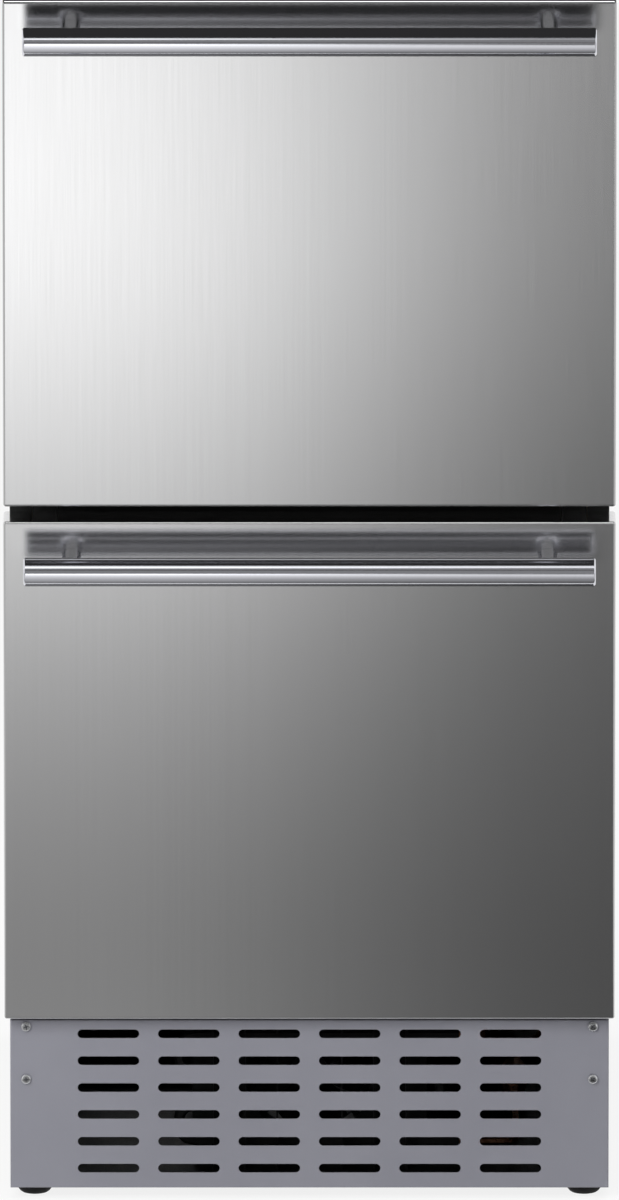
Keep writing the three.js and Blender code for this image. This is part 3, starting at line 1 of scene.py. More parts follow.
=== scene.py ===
"""Looks of the undercounter drawer refrigerator: finishes, fine meshes for what shows, studio and camera.

Metres, +Z up, the fronts face -Y. The places of all pieces come from the frame's node boxes.
"""

import json
import math

import bmesh
import bpy
from mathutils import Matrix, Vector


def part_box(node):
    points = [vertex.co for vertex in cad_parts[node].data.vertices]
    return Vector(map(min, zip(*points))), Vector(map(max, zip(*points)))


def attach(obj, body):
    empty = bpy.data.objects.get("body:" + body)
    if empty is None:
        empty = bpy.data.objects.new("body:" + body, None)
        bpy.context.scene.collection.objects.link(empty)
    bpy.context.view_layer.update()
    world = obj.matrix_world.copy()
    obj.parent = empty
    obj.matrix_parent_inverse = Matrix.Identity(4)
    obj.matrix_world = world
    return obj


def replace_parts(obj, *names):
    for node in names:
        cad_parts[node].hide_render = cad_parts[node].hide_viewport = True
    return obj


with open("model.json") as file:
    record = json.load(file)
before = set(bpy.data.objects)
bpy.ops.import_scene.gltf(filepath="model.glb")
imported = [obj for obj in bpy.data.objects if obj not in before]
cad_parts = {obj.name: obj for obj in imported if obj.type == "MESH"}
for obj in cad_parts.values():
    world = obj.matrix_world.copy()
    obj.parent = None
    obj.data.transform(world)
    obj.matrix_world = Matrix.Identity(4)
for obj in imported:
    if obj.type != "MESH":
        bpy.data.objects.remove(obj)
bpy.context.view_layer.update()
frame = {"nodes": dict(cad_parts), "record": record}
NODES = frame["nodes"]
MM = 0.001
TINY = 1e-7
DRAWERS = ("upper", "lower")


# ------------------------------------------------------------------ camera
PHOTO_HEIGHT = 1200  # pixels
METRES_PER_PIXEL = 0.7186 * MM  # on the plane of the steel faces
FACE_TOP_PIXEL = 1.5  # row of the upper front's top edge in the picture
VIEW_ELEVATION = math.radians(11)
VIEW_DISTANCE = 18.0
FARTHEST_SEEN = 100.0


def add_camera():
    """A long lens in front, a little above, aimed so that the fronts fill the picture."""
    low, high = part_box("upper_drawer_skin")
    slope = (PHOTO_HEIGHT / 2 - FACE_TOP_PIXEL) * METRES_PER_PIXEL / VIEW_DISTANCE
    drop = slope * VIEW_DISTANCE / (math.cos(VIEW_ELEVATION) + slope * math.sin(VIEW_ELEVATION))
    aim = Vector((0, low.y, high.z - drop))
    back = Vector((0, -math.cos(VIEW_ELEVATION), math.sin(VIEW_ELEVATION)))
    data = bpy.data.cameras.new("camera")
    data.lens = data.sensor_width * VIEW_DISTANCE / (PHOTO_HEIGHT * METRES_PER_PIXEL)
    data.clip_end = FARTHEST_SEEN
    camera = bpy.data.objects.new("camera", data)
    camera.location = aim + back * VIEW_DISTANCE
    camera.rotation_euler = (math.pi / 2 - VIEW_ELEVATION, 0, 0)
    bpy.context.scene.collection.objects.link(camera)
    bpy.context.scene.camera = camera


add_camera()
bpy.context.scene.view_settings.view_transform = "Standard"

# ------------------------------------------------------------------ materials
NOISE_RANGE = (0.3, 0.7)  # nearly all values of a noise lie in it


class Surface:
    """A material around one principled shader, with short ways to add noise, ramps and bump.

    A stretch is the number of features per metre along X, Y and Z.
    """

    def __init__(self, name, **sockets):
        self.material = bpy.data.materials.new(name)
        self.material.use_nodes = True
        self.tree = self.material.node_tree
        self.shader = self.tree.nodes["Principled BSDF"]
        self.place = None
        for socket, value in sockets.items():
            self.shader.inputs[socket.replace("_", " ")].default_value = value

    def node(self, kind, **settings):
        made = self.tree.nodes.new(kind)
        for key, value in settings.items():
            setattr(made, key, value)
        return made

    def link(self, source, target):
        self.tree.links.new(source, target)

    def coordinates(self, stretch):
        """Object coordinates stretched along the axes."""
        if self.place is None:
            self.place = self.node("ShaderNodeTexCoord")
        mapping = self.node("ShaderNodeMapping")
        mapping.inputs["Scale"].default_value = stretch
        self.link(self.place.outputs["Object"], mapping.inputs["Vector"])
        return mapping.outputs["Vector"]

    def noise(self, stretch, detail=2.0, roughness=0.5):
        """Soft clouds as a value around one half."""
        made = self.node("ShaderNodeTexNoise")
        self.link(self.coordinates(stretch), made.inputs["Vector"])
        made.inputs["Scale"].default_value = 1.0
        made.inputs["Detail"].default_value = detail
        made.inputs["Roughness"].default_value = roughness
        return made.outputs["Fac"]

    def cells(self, stretch):
        """Grains side by side: outputs for the distance from a grain's middle and for its own colour."""
        made = self.node("ShaderNodeTexVoronoi")
        self.link(self.coordinates(stretch), made.inputs["Vector"])
        made.inputs["Scale"].default_value = 1.0
        return made.outputs

    def colours(self, value, dark, light, between=NOISE_RANGE):
        """Base colour from dark to light as the value goes through the range."""
        made = self.node("ShaderNodeValToRGB")
        for stop, at, colour in zip(made.color_ramp.elements, between, (dark, light)):
            stop.position = at
            stop.color = (*colour, 1)
        self.link(value, made.inputs["Fac"])
        self.link(made.outputs["Color"], self.shader.inputs["Base Color"])

    def rough(self, value, low, high):
        """Roughness from low to high as the value goes through the range of a noise."""
        made = self.node("ShaderNodeMapRange")
        made.inputs["From Min"].default_value = NOISE_RANGE[0]
        made.inputs["From Max"].default_value = NOISE_RANGE[1]
        made.inputs["To Min"].default_value = low
        made.inputs["To Max"].default_value = high
        self.link(value, made.inputs["Value"])
        self.link(made.outputs["Result"], self.shader.inputs["Roughness"])

    def bump(self, value, depth):
        """Relief of the given depth."""
        made = self.node("ShaderNodeBump")
        made.inputs["Strength"].default_value = 1.0
        made.inputs["Distance"].default_value = depth
        self.link(value, made.inputs["Height"])
        self.link(made.outputs["Normal"], self.shader.inputs["Normal"])

    def tangent(self, axis):
        """Direction in which an anisotropic finish was brushed: round the axis."""
        made = self.node("ShaderNodeTangent", direction_type="RADIAL", axis=axis)
        self.link(made.outputs["Tangent"], self.shader.inputs["Tangent"])


def grey(value):
    """The same value three times, for a neutral colour."""
    return (value, value, value)


def brushed_front():
    """Stainless sheet with a fine upright grain."""
    surface = Surface("brushed_front", Metallic=1.0, Anisotropic=0.5)
    grain = surface.noise((3600, 3600, 14), detail=3, roughness=0.6)
    bands = surface.noise((520, 520, 1.2))
    surface.colours(bands, (0.627, 0.627, 0.630), (0.640, 0.640, 0.644))
    surface.rough(grain, 0.115, 0.15)
    surface.bump(grain, 0.0008 * MM)
    surface.tangent("Z")
    return surface.material


def brushed_bar():
    """Turned stainless tube: the grain runs round the bar."""
    surface = Surface("brushed_bar", Metallic=1.0)
    grain = surface.noise((4200, 90, 90))
    surface.colours(grain, (0.685, 0.69, 0.735), (0.71, 0.715, 0.765))
    surface.rough(grain, 0.07, 0.11)
    surface.bump(grain, 0.0006 * MM)
    return surface.material


def powder_coat(name, dark, light, depth, gloss=0.45):
    """Sprayed coat with a fine orange peel."""
    surface = Surface(name, Specular_IOR_Level=gloss)
    peel = surface.noise((900, 900, 900))
    surface.colours(surface.noise((14, 14, 14), detail=3), dark, light)
    surface.rough(peel, 0.36, 0.48)
    surface.bump(peel, depth)
    return surface.material


def moulded(name, dark, light, rough, depth):
    """Moulded plastic with a fine grain."""
    surface = Surface(name)
    grain = surface.cells((1400, 1400, 1400))["Distance"]
    surface.colours(surface.noise((22, 22, 22)), dark, light)
    surface.rough(grain, rough - 0.05, rough + 0.08)
    surface.bump(grain, depth)
    return surface.material


def zinc_coat():
    """Galvanised sheet with its crystal spangle."""
    surface = Surface("zinc_coat", Metallic=0.9)
    tone = surface.node("ShaderNodeSeparateColor")
    surface.link(surface.cells((95, 95, 95))["Color"], tone.inputs["Color"])
    surface.colours(tone.outputs["Red"], (0.50, 0.51, 0.53), (0.57, 0.58, 0.595), between=(0, 1))
    surface.rough(tone.outputs["Green"], 0.32, 0.5)
    surface.bump(surface.noise((300, 300, 300)), 0.02 * MM)
    return surface.material


def bright_zinc():
    """Plated steel of rails and screws, with drawing marks along the rails."""
    surface = Surface("bright_zinc", Metallic=1.0)
    marks = surface.noise((1800, 24, 1800))
    surface.colours(marks, (0.60, 0.61, 0.62), (0.72, 0.73, 0.74))
    surface.rough(marks, 0.22, 0.34)
    surface.bump(marks, 0.008 * MM)
    return surface.material


def drawn_tube(name, dark, light):
    """Drawn metal, slightly stained."""
    surface = Surface(name, Metallic=1.0)
    marks = surface.noise((260, 260, 260), detail=4)
    surface.colours(marks, dark, light)
    surface.rough(marks, 0.24, 0.42)
    surface.bump(marks, 0.01 * MM)
    return surface.material


def rubber(name, dark, light):
    """Matt rubber with a little dust."""
    surface = Surface(name, Specular_IOR_Level=0.2)
    dust = surface.noise((180, 180, 180), detail=4)
    surface.colours(dust, dark, light)
    surface.rough(dust, 0.62, 0.82)
    surface.bump(surface.noise((2400, 2400, 2400)), 0.03 * MM)
    return surface.material


def foam_skin():
    """Yellowish foam with open cells."""
    surface = Surface("foam_skin", Roughness=0.9)
    surface.colours(surface.noise((40, 40, 40), detail=3), (0.74, 0.62, 0.36), (0.86, 0.75, 0.5))
    surface.bump(surface.cells((900, 900, 900))["Distance"], 0.2 * MM)
    return surface.material


def opal():
    """Milky lens with fine ribs."""
    surface = Surface("opal_lens", Roughness=0.3, Subsurface_Weight=0.2, Subsurface_Radius=grey(4 * MM))
    surface.colours(surface.noise((30, 30, 30), detail=1), grey(0.82), grey(0.9))
    surface.bump(surface.noise((1600, 12, 12)), 0.08 * MM)
    return surface.material


FINISH = {
    "brushed_steel": brushed_front(),
    "handle_steel": brushed_bar(),
    "grey_paint": powder_coat("grey_coat", (0.232, 0.232, 0.266), (0.248, 0.248, 0.282), 0.03 * MM),
    "black_paint": powder_coat("black_coat", grey(0.009), grey(0.015), 0.05 * MM, gloss=0.3),
    "galvanised_steel": zinc_coat(),
    "zinc_steel": bright_zinc(),
    "black_plastic": moulded("black_moulding", grey(0.010), grey(0.016), 0.42, 0.03 * MM),
    "white_plastic": moulded("white_moulding", (0.80, 0.81, 0.80), (0.84, 0.85, 0.84), 0.3, 0.01 * MM),
    "grey_plastic": moulded("grey_moulding", grey(0.035), grey(0.05), 0.4, 0.03 * MM),
    "black_rubber": rubber("black_rubber", grey(0.005), grey(0.012)),
    "grey_rubber": rubber("grey_rubber", grey(0.03), grey(0.05)),
    "foam": foam_skin(),
    "copper": drawn_tube("copper_tube", (0.60, 0.27, 0.15), (0.80, 0.42, 0.26)),
    "aluminium": drawn_tube("aluminium_coil", (0.62, 0.63, 0.64), (0.74, 0.75, 0.76)),
    "lamp_plastic": opal(),
}
SLOT_OF = {row["node"]: row["material_slot"] for row in frame["record"]["subparts"]}
BODY_OF = {
    node: body
    for body, nodes in frame["record"]["behaviour"]["bodies"].items()
    for node in nodes
}


def dress_frame():
    """Gives every node of the frame its finish."""
    for name, node in NODES.items():
        node.data.materials.clear()
        node.data.materials.append(FINISH[SLOT_OF[name]])


dress_frame()

# ------------------------------------------------------------------ mesh helpers
HARD_EDGE = 40  # degrees; edges that turn more stay hard
HARD_FOLD = 35  # the same on folded sheets and the handles
HARD_HEAD = 30  # and on screw heads
BROKEN_EDGE = 50  # degrees; edges that turn more are broken where a piece asks for it


def mesh_object(name, bm):
    """An object from a bmesh, with its faces turned outwards."""
    bmesh.ops.recalc_face_normals(bm, faces=bm.faces)
    mesh = bpy.data.meshes.new(name)
    bm.to_mesh(mesh)
    bm.free()
    made = bpy.data.objects.new(name, mesh)
    bpy.context.scene.collection.objects.link(made)
    return made


def piece(name, bm, node, hard=HARD_EDGE, sheet=None, cutter=None, edge=None, slot=None):
    """An object from a bmesh that rides with a node; made a sheet, cut and its edges broken as asked."""
    made = mesh_object(name, bm)
    slot = slot or SLOT_OF[node]
    made.data.materials.append(FINISH[slot])
    tool = mesh_object("cutter", cutter) if cutter else None
    if sheet:
        thicken(made, sheet)
    if tool:
        carve(made, tool)
    if edge:
        break_edges(made, edge)
    apply_modifiers(made)
    if tool:
        bpy.data.objects.remove(tool)
    soften(made, hard)
    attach(made, BODY_OF[node])
    return made


def apply_modifiers(made):
    """Keeps the shape that the modifiers give."""
    graph = bpy.context.evaluated_depsgraph_get()
    mesh = bpy.data.meshes.new_from_object(made.evaluated_get(graph), depsgraph=graph)
    made.modifiers.clear()
    made.data = mesh


def thicken(made, sheet):
    """Gives a skin its thickness, inwards."""
    wall = made.modifiers.new("sheet", "SOLIDIFY")
    wall.thickness = sheet
    wall.offset = -1


def carve(made, tool):
    """Cuts the shape of another object out of it."""
    cut = made.modifiers.new("carve", "BOOLEAN")
    cut.object = tool
    cut.operation = "DIFFERENCE"
    cut.solver = "EXACT"


def break_edges(made, width):
    """Small bevels on the sharp edges."""
    broken = made.modifiers.new("edge", "BEVEL")
    broken.width = width
    broken.segments = 2
    broken.limit_method = "ANGLE"
    broken.angle_limit = math.radians(BROKEN_EDGE)


def soften(made, hard):
    """Smooth shading with hard edges at more than the angle; flat faces stay flat next to rounded edges."""
    made.data.shade_smooth()
    made.data.set_sharp_from_angle(angle=math.radians(hard))
    weighted = made.modifiers.new("weighted", "WEIGHTED_NORMAL")
    weighted.keep_sharp = True
    weighted.weight = 100
    apply_modifiers(made)


def add_box(bm, low, high):
    """A block between two corners."""
    low, high = Vector(low), Vector(high)
    matrix = Matrix.Translation((low + high) / 2) @ Matrix.Diagonal((*(high - low), 1))
    bmesh.ops.create_cube(bm, size=1, matrix=matrix)


def add_prism(bm, near, far):
    """A solid between two outlines with equally many points."""
    near = [bm.verts.new(point) for point in near]
    far = [bm.verts.new(point) for point in far]
    bm.faces.new(near)
    bm.faces.new(far[::-1])
    for i in range(len(near)):
        j = (i + 1) % len(near)
        bm.faces.new((near[i], far[i], far[j], near[j]))


def add_turned(bm, profile, axis_from, axis_to, segments):
    """A profile of (radius, distance) turned about an axis from one point towards another."""
    start = Vector(axis_from)
    along = (Vector(axis_to) - start).normalized()
    turn = Vector((0, 0, 1)).rotation_difference(along).to_matrix().to_4x4()
    matrix = Matrix.Translation(start) @ turn
    angles = [2 * math.pi * i / segments for i in range(segments)]
    rings = []
    for radius, height in profile:
        ring = [Vector((radius * math.cos(a), radius * math.sin(a), height)) for a in angles]
        if radius < TINY:
            ring = [Vector((0, 0, height))]
        rings.append([bm.verts.new(matrix @ point) for point in ring])
    for lower, upper in zip(rings, rings[1:]):
        for i in range(segments):
            j = (i + 1) % segments
            corners = [ring[k % len(ring)] for ring, k in ((lower, i), (lower, j), (upper, j), (upper, i))]
            bm.faces.new(list(dict.fromkeys(corners)))


def rear_face(bm):
    """The face that lies furthest back."""
    return max(bm.faces, key=lambda face: face.calc_center_median().y)


# ------------------------------------------------------------------ handles
BAR_RADIUS = 10.3 * MM
BAR_EDGE = 1.8 * MM  # rounding of its ends
BAR_EDGE_STEPS = 5
BAR_SEGMENTS = 96
POST_RADIUS = 7 * MM
POST_SPACING = 342 * MM
POST_START = BAR_RADIUS * 0.55  # behind the bar's axis, so that the post begins inside the bar
POST_SEGMENTS = 48
WELD = 1.6 * MM
WELD_PROFILE = ((1, -0.6), (0.3, 0.2), (0, 1))  # out of the post and along it, in shares of the weld


def bar_end(place, inwards):
    """Profile points of the bar's end at the given place, with its round edge."""
    points = [(0, place)]
    for i in range(BAR_EDGE_STEPS + 1):
        angle = math.pi / 2 * i / BAR_EDGE_STEPS
        radius = BAR_RADIUS - BAR_EDGE * (1 - math.sin(angle))
        points.append((radius, place + inwards * BAR_EDGE * (1 - math.cos(angle))))
    return points


def add_post(bm, x, bar_y, z, end_y):
    """A round post from inside the bar to the front, with a small weld fillet where it leaves the bar."""
    start = bar_y + POST_START
    weld_place = BAR_RADIUS - POST_START
    reach = end_y - start
    profile = [(0, 0), (POST_RADIUS + WELD, 0)]
    profile += [(POST_RADIUS + WELD * out, weld_place + WELD * along) for out, along in WELD_PROFILE]
    profile += [(POST_RADIUS, reach), (0, reach)]
    add_turned(bm, profile, (x, start, z), (x, end_y, z), POST_SEGMENTS)


def make_handle(drawer):
    """Bar with rounded ends on two posts."""
    node = drawer + "_handle"
    low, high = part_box(node)
    z = (low.z + high.z) / 2
    bar_y = low.y + BAR_RADIUS
    profile = bar_end(0, 1) + bar_end(high.x - low.x, -1)[::-1]
    bm = bmesh.new()
    add_turned(bm, profile, (low.x, bar_y, z), (high.x, bar_y, z), BAR_SEGMENTS)
    for side in (-1, 1):
        add_post(bm, side * POST_SPACING / 2, bar_y, z, high.y)
    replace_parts(piece(drawer + "_handle_bar", bm, node, HARD_FOLD), node)


for drawer in DRAWERS:
    make_handle(drawer)

# ------------------------------------------------------------------ steel fronts
SKIN_SHEET = 1.0 * MM
SKIN_FOLD = 1.8 * MM
SKIN_LIP = 12 * MM


def make_skin(drawer):
    """Folded pan: face, four sides with round folds, and a return lip behind."""
    node = drawer + "_drawer_skin"
    low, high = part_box(node)
    bm = bmesh.new()
    add_box(bm, low, high)
    back = rear_face(bm)
    folds = [e for e in bm.edges if back not in e.link_faces]
    bmesh.ops.inset_region(bm, faces=[back], thickness=SKIN_LIP)
    bmesh.ops.delete(bm, geom=[back], context="FACES_ONLY")
    bmesh.ops.bevel(bm, geom=folds, offset=SKIN_FOLD, segments=5, profile=0.5, affect="EDGES")
    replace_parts(piece(drawer + "_steel_front", bm, node, HARD_FOLD, SKIN_SHEET), node)


for drawer in DRAWERS:
    make_skin(drawer)

# ------------------------------------------------------------------ kick plate
KICK_SHEET = 1.0 * MM
KICK_LIP = 12 * MM
KICK_FOLD = 1.2 * MM
KICK_EDGE = 0.12 * MM
SLOT_COLUMNS = 6
SLOT_ROWS = 6
SLOT_LENGTH = 44.4 * MM
SLOT_HEIGHT = 6.4 * MM
SLOT_SIDE_MARGIN = 48.7 * MM
SLOT_TOP_MARGIN = 10.35 * MM  # to the middle of the first row
SLOT_BOTTOM_MARGIN = 14.5 * MM  # to the middle of the last
SLOT_STEPS = 12  # of each round end
SLOT_CUT = 2 * MM  # how far the slots' cutters reach before and behind the plate's face
SPARE = 1 * MM  # how far the cutter behind the lips reaches past the plate


def slot_outline(x, y, z):
    """An obround upright outline round a point."""
    radius = SLOT_HEIGHT / 2
    points = []
    for end in (1, -1):
        middle = x + end * (SLOT_LENGTH / 2 - radius)
        for i in range(SLOT_STEPS + 1):
            angle = math.pi * (i / SLOT_STEPS - end / 2)
            points.append((middle + radius * math.cos(angle), y, z + radius * math.sin(angle)))
    return points


def slot_places(low, high):
    """The middles of the slots as (x, z)."""
    left = low.x + SLOT_SIDE_MARGIN + SLOT_LENGTH / 2
    right = high.x - SLOT_SIDE_MARGIN - SLOT_LENGTH / 2
    top, bottom = high.z - SLOT_TOP_MARGIN, low.z + SLOT_BOTTOM_MARGIN
    for column in range(SLOT_COLUMNS):
        for row in range(SLOT_ROWS):
            x = left + (right - left) * column / (SLOT_COLUMNS - 1)
            yield x, top + (bottom - top) * row / (SLOT_ROWS - 1)


def kick_cutter(low, high):
    """The shape to cut away: the slots, and all that lies behind the lips above and below."""
    cutter = bmesh.new()
    front, back = low.y - SLOT_CUT, low.y + SLOT_CUT
    for x, z in slot_places(low, high):
        add_prism(cutter, slot_outline(x, front, z), slot_outline(x, back, z))
    inside = KICK_SHEET * 1.5
    start = (low.x + inside, low.y + KICK_LIP, low.z - SPARE)
    end = (high.x - inside, high.y + SPARE, high.z + SPARE)
    add_box(cutter, start, end)
    return cutter


def make_kick_plate():
    """Folded sheet with slots, side returns and short lips above and below."""
    low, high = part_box("kick_plate")
    bm = bmesh.new()
    add_box(bm, low, high)
    bmesh.ops.delete(bm, geom=[rear_face(bm)], context="FACES_ONLY")
    folds = [e for e in bm.edges if all(v.co.y < low.y + KICK_SHEET for v in e.verts)]
    bmesh.ops.bevel(bm, geom=folds, offset=KICK_FOLD, segments=4, profile=0.5, affect="EDGES")
    cutter = kick_cutter(low, high)
    made = piece("kick_plate_sheet", bm, "kick_plate", HARD_FOLD, KICK_SHEET, cutter, KICK_EDGE)
    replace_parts(made, "kick_plate")


make_kick_plate()

# ------------------------------------------------------------------ screws
HEAD_RADIUS = 3.6 * MM
HEAD_HEIGHT = 2.2 * MM
HEAD_FLAT = HEAD_RADIUS * 0.42  # where the dome begins
HEAD_RIM = 0.28  # height of its rim, as a share of the head's
HEAD_STEPS = 8
SCREW_SEGMENTS = 40
SHANK_RADIUS = 1.9 * MM
RECESS_REACH = 1.8 * MM  # from the middle to an arm's end
RECESS_TAPER = 0.7
RECESS_WIDTH = 0.9 * MM
RECESS_DEPTH = 3.2 * MM
RECESS_ABOVE = 0.3 * MM  # the cutter begins so far above the head
KICK_SCREW_TURNS = {"upper_left": 0.5, "upper_right": 1.4, "lower_left": 2.3, "lower_right": 3.2}  # radians


def screw_profile(length):
    """Head, shank and tip; the seat is at 0."""
    points = [(0, -HEAD_HEIGHT)]
    for i in range(HEAD_STEPS + 1):
        angle = math.pi / 2 * i / HEAD_STEPS
        radius = HEAD_FLAT + (HEAD_RADIUS - HEAD_FLAT) * math.sin(angle)
        points.append((radius, -HEAD_HEIGHT * (HEAD_RIM + (1 - HEAD_RIM) * math.cos(angle))))
    points += [(HEAD_RADIUS, 0), (SHANK_RADIUS, 0)]
    return points + [(SHANK_RADIUS, length - SHANK_RADIUS), (0, length)]


def cross_outline(middle, across, aside, reach):
    """A cross with four equal arms, in the plane of two directions."""
    half = RECESS_WIDTH / 2
    arm = [(half, half), (reach, half), (reach, -half)]
    points = []
    for _ in range(4):
        points += [middle + across * u + aside * v for u, v in arm]
        arm = [(v, -u) for u, v in arm]
    return points


def screw_shapes(seat, inwards, length, turn):
    """A pan-head screw with its head on the outer side of a seat, and the cutter of its cross recess."""
    inwards = Vector(inwards)
    bm = bmesh.new()
    add_turned(bm, screw_profile(length), seat, seat + inwards, SCREW_SEGMENTS)
    across = Matrix.Rotation(turn, 4, inwards) @ inwards.orthogonal().normalized()
    aside = inwards.cross(across)
    mouth = seat - inwards * (HEAD_HEIGHT + RECESS_ABOVE)
    bottom = seat + inwards * (RECESS_DEPTH - HEAD_HEIGHT)
    cutter = bmesh.new()
    add_prism(
        cutter,
        cross_outline(mouth, across, aside, RECESS_REACH),
        cross_outline(bottom, across, aside, RECESS_REACH * RECESS_TAPER),
    )
    return bm, cutter


def make_kick_screws():
    """The four screws of the kick plate, each turned its own way."""
    for corner, turn in KICK_SCREW_TURNS.items():
        node = "kick_screw_" + corner
        low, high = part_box(node)
        seat = Vector(((low.x + high.x) / 2, low.y + HEAD_HEIGHT, (low.z + high.z) / 2))
        bm, cutter = screw_shapes(seat, (0, 1, 0), high.y - seat.y, turn)
        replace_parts(piece(node + "_cross_head", bm, node, HARD_HEAD, cutter=cutter), node)


make_kick_screws()

# ------------------------------------------------------------------ levelling feet
# radius and height, in shares of the pad's
PAD_PROFILE = [
    (0, 0), (0.5, 0), (0.64, 0.07), (0.76, 0.22), (0.86, 0.45), (0.93, 0.68), (0.98, 0.88), (1, 1),
]
PAD_GAP = 0.3 * MM  # between the pads and the tray
STEM_RADIUS = 4 * MM
STEM_PLAIN = 1 * MM  # its ends without thread, and the bevel on top
THREAD_PITCH = 1.25 * MM
THREAD_ROOT = STEM_RADIUS * 0.88
FOOT_SEGMENTS = 56


def stem_profile(start, end):
    """A threaded stem between two heights."""
    points = [(STEM_RADIUS, start)]
    for i in range(int((end - start - 2 * STEM_PLAIN) / THREAD_PITCH)):
        crest = start + STEM_PLAIN + i * THREAD_PITCH
        points += [(STEM_RADIUS, crest), (THREAD_ROOT, crest + THREAD_PITCH / 2)]
    return points + [(STEM_RADIUS, end - STEM_PLAIN), (STEM_RADIUS - STEM_PLAIN, end), (0, end)]


def make_feet():
    """Smooth turned pads on threaded stems, from the floor up."""
    pad_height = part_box("base_tray")[0].z - PAD_GAP
    for name in ("front_left", "front_right", "rear_left", "rear_right"):
        node = "levelling_foot_" + name
        low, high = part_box(node)
        centre = (low + high) / 2
        pad_radius = (high.y - low.y) / 2
        profile = [(r * pad_radius, h * pad_height) for r, h in PAD_PROFILE]
        profile += stem_profile(pad_height, high.z)
        bm = bmesh.new()
        add_turned(bm, profile, (centre.x, centre.y, low.z), (centre.x, centre.y, high.z), FOOT_SEGMENTS)
        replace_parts(piece(node + "_pad", bm, node), node)


make_feet()

# ------------------------------------------------------------------ controls
MARKS = ("ring", "minus", "plus")  # of the three buttons
MARK_LIFT = 0.06 * MM
MARK_REACH = 2.4 * MM
MARK_STROKE = 0.7 * MM
MARK_GAP = MARK_STROKE * 0.01  # between the strokes of the plus
RING_SEGMENTS = 36


def add_ring(bm, x, z, front, back):
    """A flat ring facing forwards."""
    inner, thickness = MARK_REACH - MARK_STROKE, back - front
    profile = [(inner, 0), (MARK_REACH, 0), (MARK_REACH, thickness), (inner, thickness), (inner, 0)]
    add_turned(bm, profile, (x, front, z), (x, back, z), RING_SEGMENTS)
    bmesh.ops.remove_doubles(bm, verts=bm.verts, dist=TINY)


def make_mark(number, mark):
    """A plain mark on a button, half sunk in it."""
    node = f"control_button_{number}"
    low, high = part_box(node)
    x, z = (low.x + high.x) / 2, (low.z + high.z) / 2
    front, back = low.y - MARK_LIFT, low.y + MARK_LIFT
    half = MARK_STROKE / 2
    bm = bmesh.new()
    if mark == "ring":
        add_ring(bm, x, z, front, back)
    else:
        add_box(bm, (x - MARK_REACH, front, z - half), (x + MARK_REACH, back, z + half))
    if mark == "plus":
        clear = half + MARK_GAP
        for start, end in ((-MARK_REACH, -clear), (clear, MARK_REACH)):
            add_box(bm, (x - half, front, z + start), (x + half, back, z + end))
    piece(node + "_mark", bm, node, slot="white_plastic")


for number, mark in enumerate(MARKS, start=1):
    make_mark(number, mark)

# ------------------------------------------------------------------ rear cover screws
COVER_SHEET = 1 * MM
COVER_SCREW_GRIP = 0.9 * MM
COVER_SCREWS_X = (-0.94, -0.32, 0.32, 0.94)  # in shares of half the cover's width
COVER_SCREWS_Z = (0.08, 0.95)  # in shares of its height
FIRST_TURN = 0.4  # radians, and how much further each next screw is turned
COLUMN_TURN = 1.0
ROW_TURN = 2.1


def make_cover_screws():
    """Pan-head screws along the lower and upper edge of the rear cover."""
    low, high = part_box("rear_cover")
    half = (high.x - low.x) / 2
    length = COVER_SCREW_GRIP + SHANK_RADIUS
    for row, z_share in enumerate(COVER_SCREWS_Z):
        for column, x_share in enumerate(COVER_SCREWS_X):
            seat = Vector((half * x_share, low.y + COVER_SHEET, low.z + (high.z - low.z) * z_share))
            turn = FIRST_TURN + COLUMN_TURN * column + ROW_TURN * row
            bm, cutter = screw_shapes(seat, (0, -1, 0), length, turn)
            name = f"cover_screw_{row + 1}_{column + 1}"
            piece(name, bm, "rear_cover", HARD_HEAD, cutter=cutter, slot="zinc_steel")


make_cover_screws()


# ------------------------------------------------------------------ node maths
def arithmetic(tree, operation, *values):
    """A maths node on sockets or numbers."""
    made = tree.nodes.new("ShaderNodeMath")
    made.operation = operation
    for value, socket in zip(values, made.inputs):
        if isinstance(value, (int, float)):
            socket.default_value = value
        else:
            tree.links.new(value, socket)
    return made.outputs[0]


def blend(tree, one, other, share):
    """From one value at a share of 0 to the other at 1."""
    rest = arithmetic(tree, "SUBTRACT", 1.0, share)
    return arithmetic(
        tree, "ADD", arithmetic(tree, "MULTIPLY", one, rest), arithmetic(tree, "MULTIPLY", other, share)
    )


def curve(tree, value, points):
    """A smooth curve through (place, strength) points.

    A ramp ends at 1, so it holds the strengths as shares of their peak.
    """
    peak = max(strength for _, strength in points)
    start, end = points[0][0], points[-1][0]
    along = tree.nodes.new("ShaderNodeMapRange")
    along.inputs["From Min"].default_value = start
    along.inputs["From Max"].default_value = end
    tree.links.new(value, along.inputs["Value"])
    ramp = tree.nodes.new("ShaderNodeValToRGB")
    ramp.color_ramp.interpolation = "B_SPLINE"
    stops = ramp.color_ramp.elements
    while len(stops) < len(points):
        stops.new(0.5)
    for stop, (at, strength) in zip(stops, points):
        stop.position = (at - start) / (end - start)
        stop.color = (*grey(strength / peak), 1)
    tree.links.new(along.outputs["Result"], ramp.inputs["Fac"])
    return arithmetic(tree, "MULTIPLY", ramp.outputs["Color"], peak)


def seen_directly(tree):
    """1 for rays from the camera, from a mirror or through glass, and 0 for those that light the object."""
    path = tree.nodes.new("ShaderNodeLightPath").outputs
    mirrored = arithmetic(tree, "MAXIMUM", path["Is Camera Ray"], path["Is Glossy Ray"])
    return arithmetic(tree, "MAXIMUM", mirrored, path["Is Transmission Ray"])


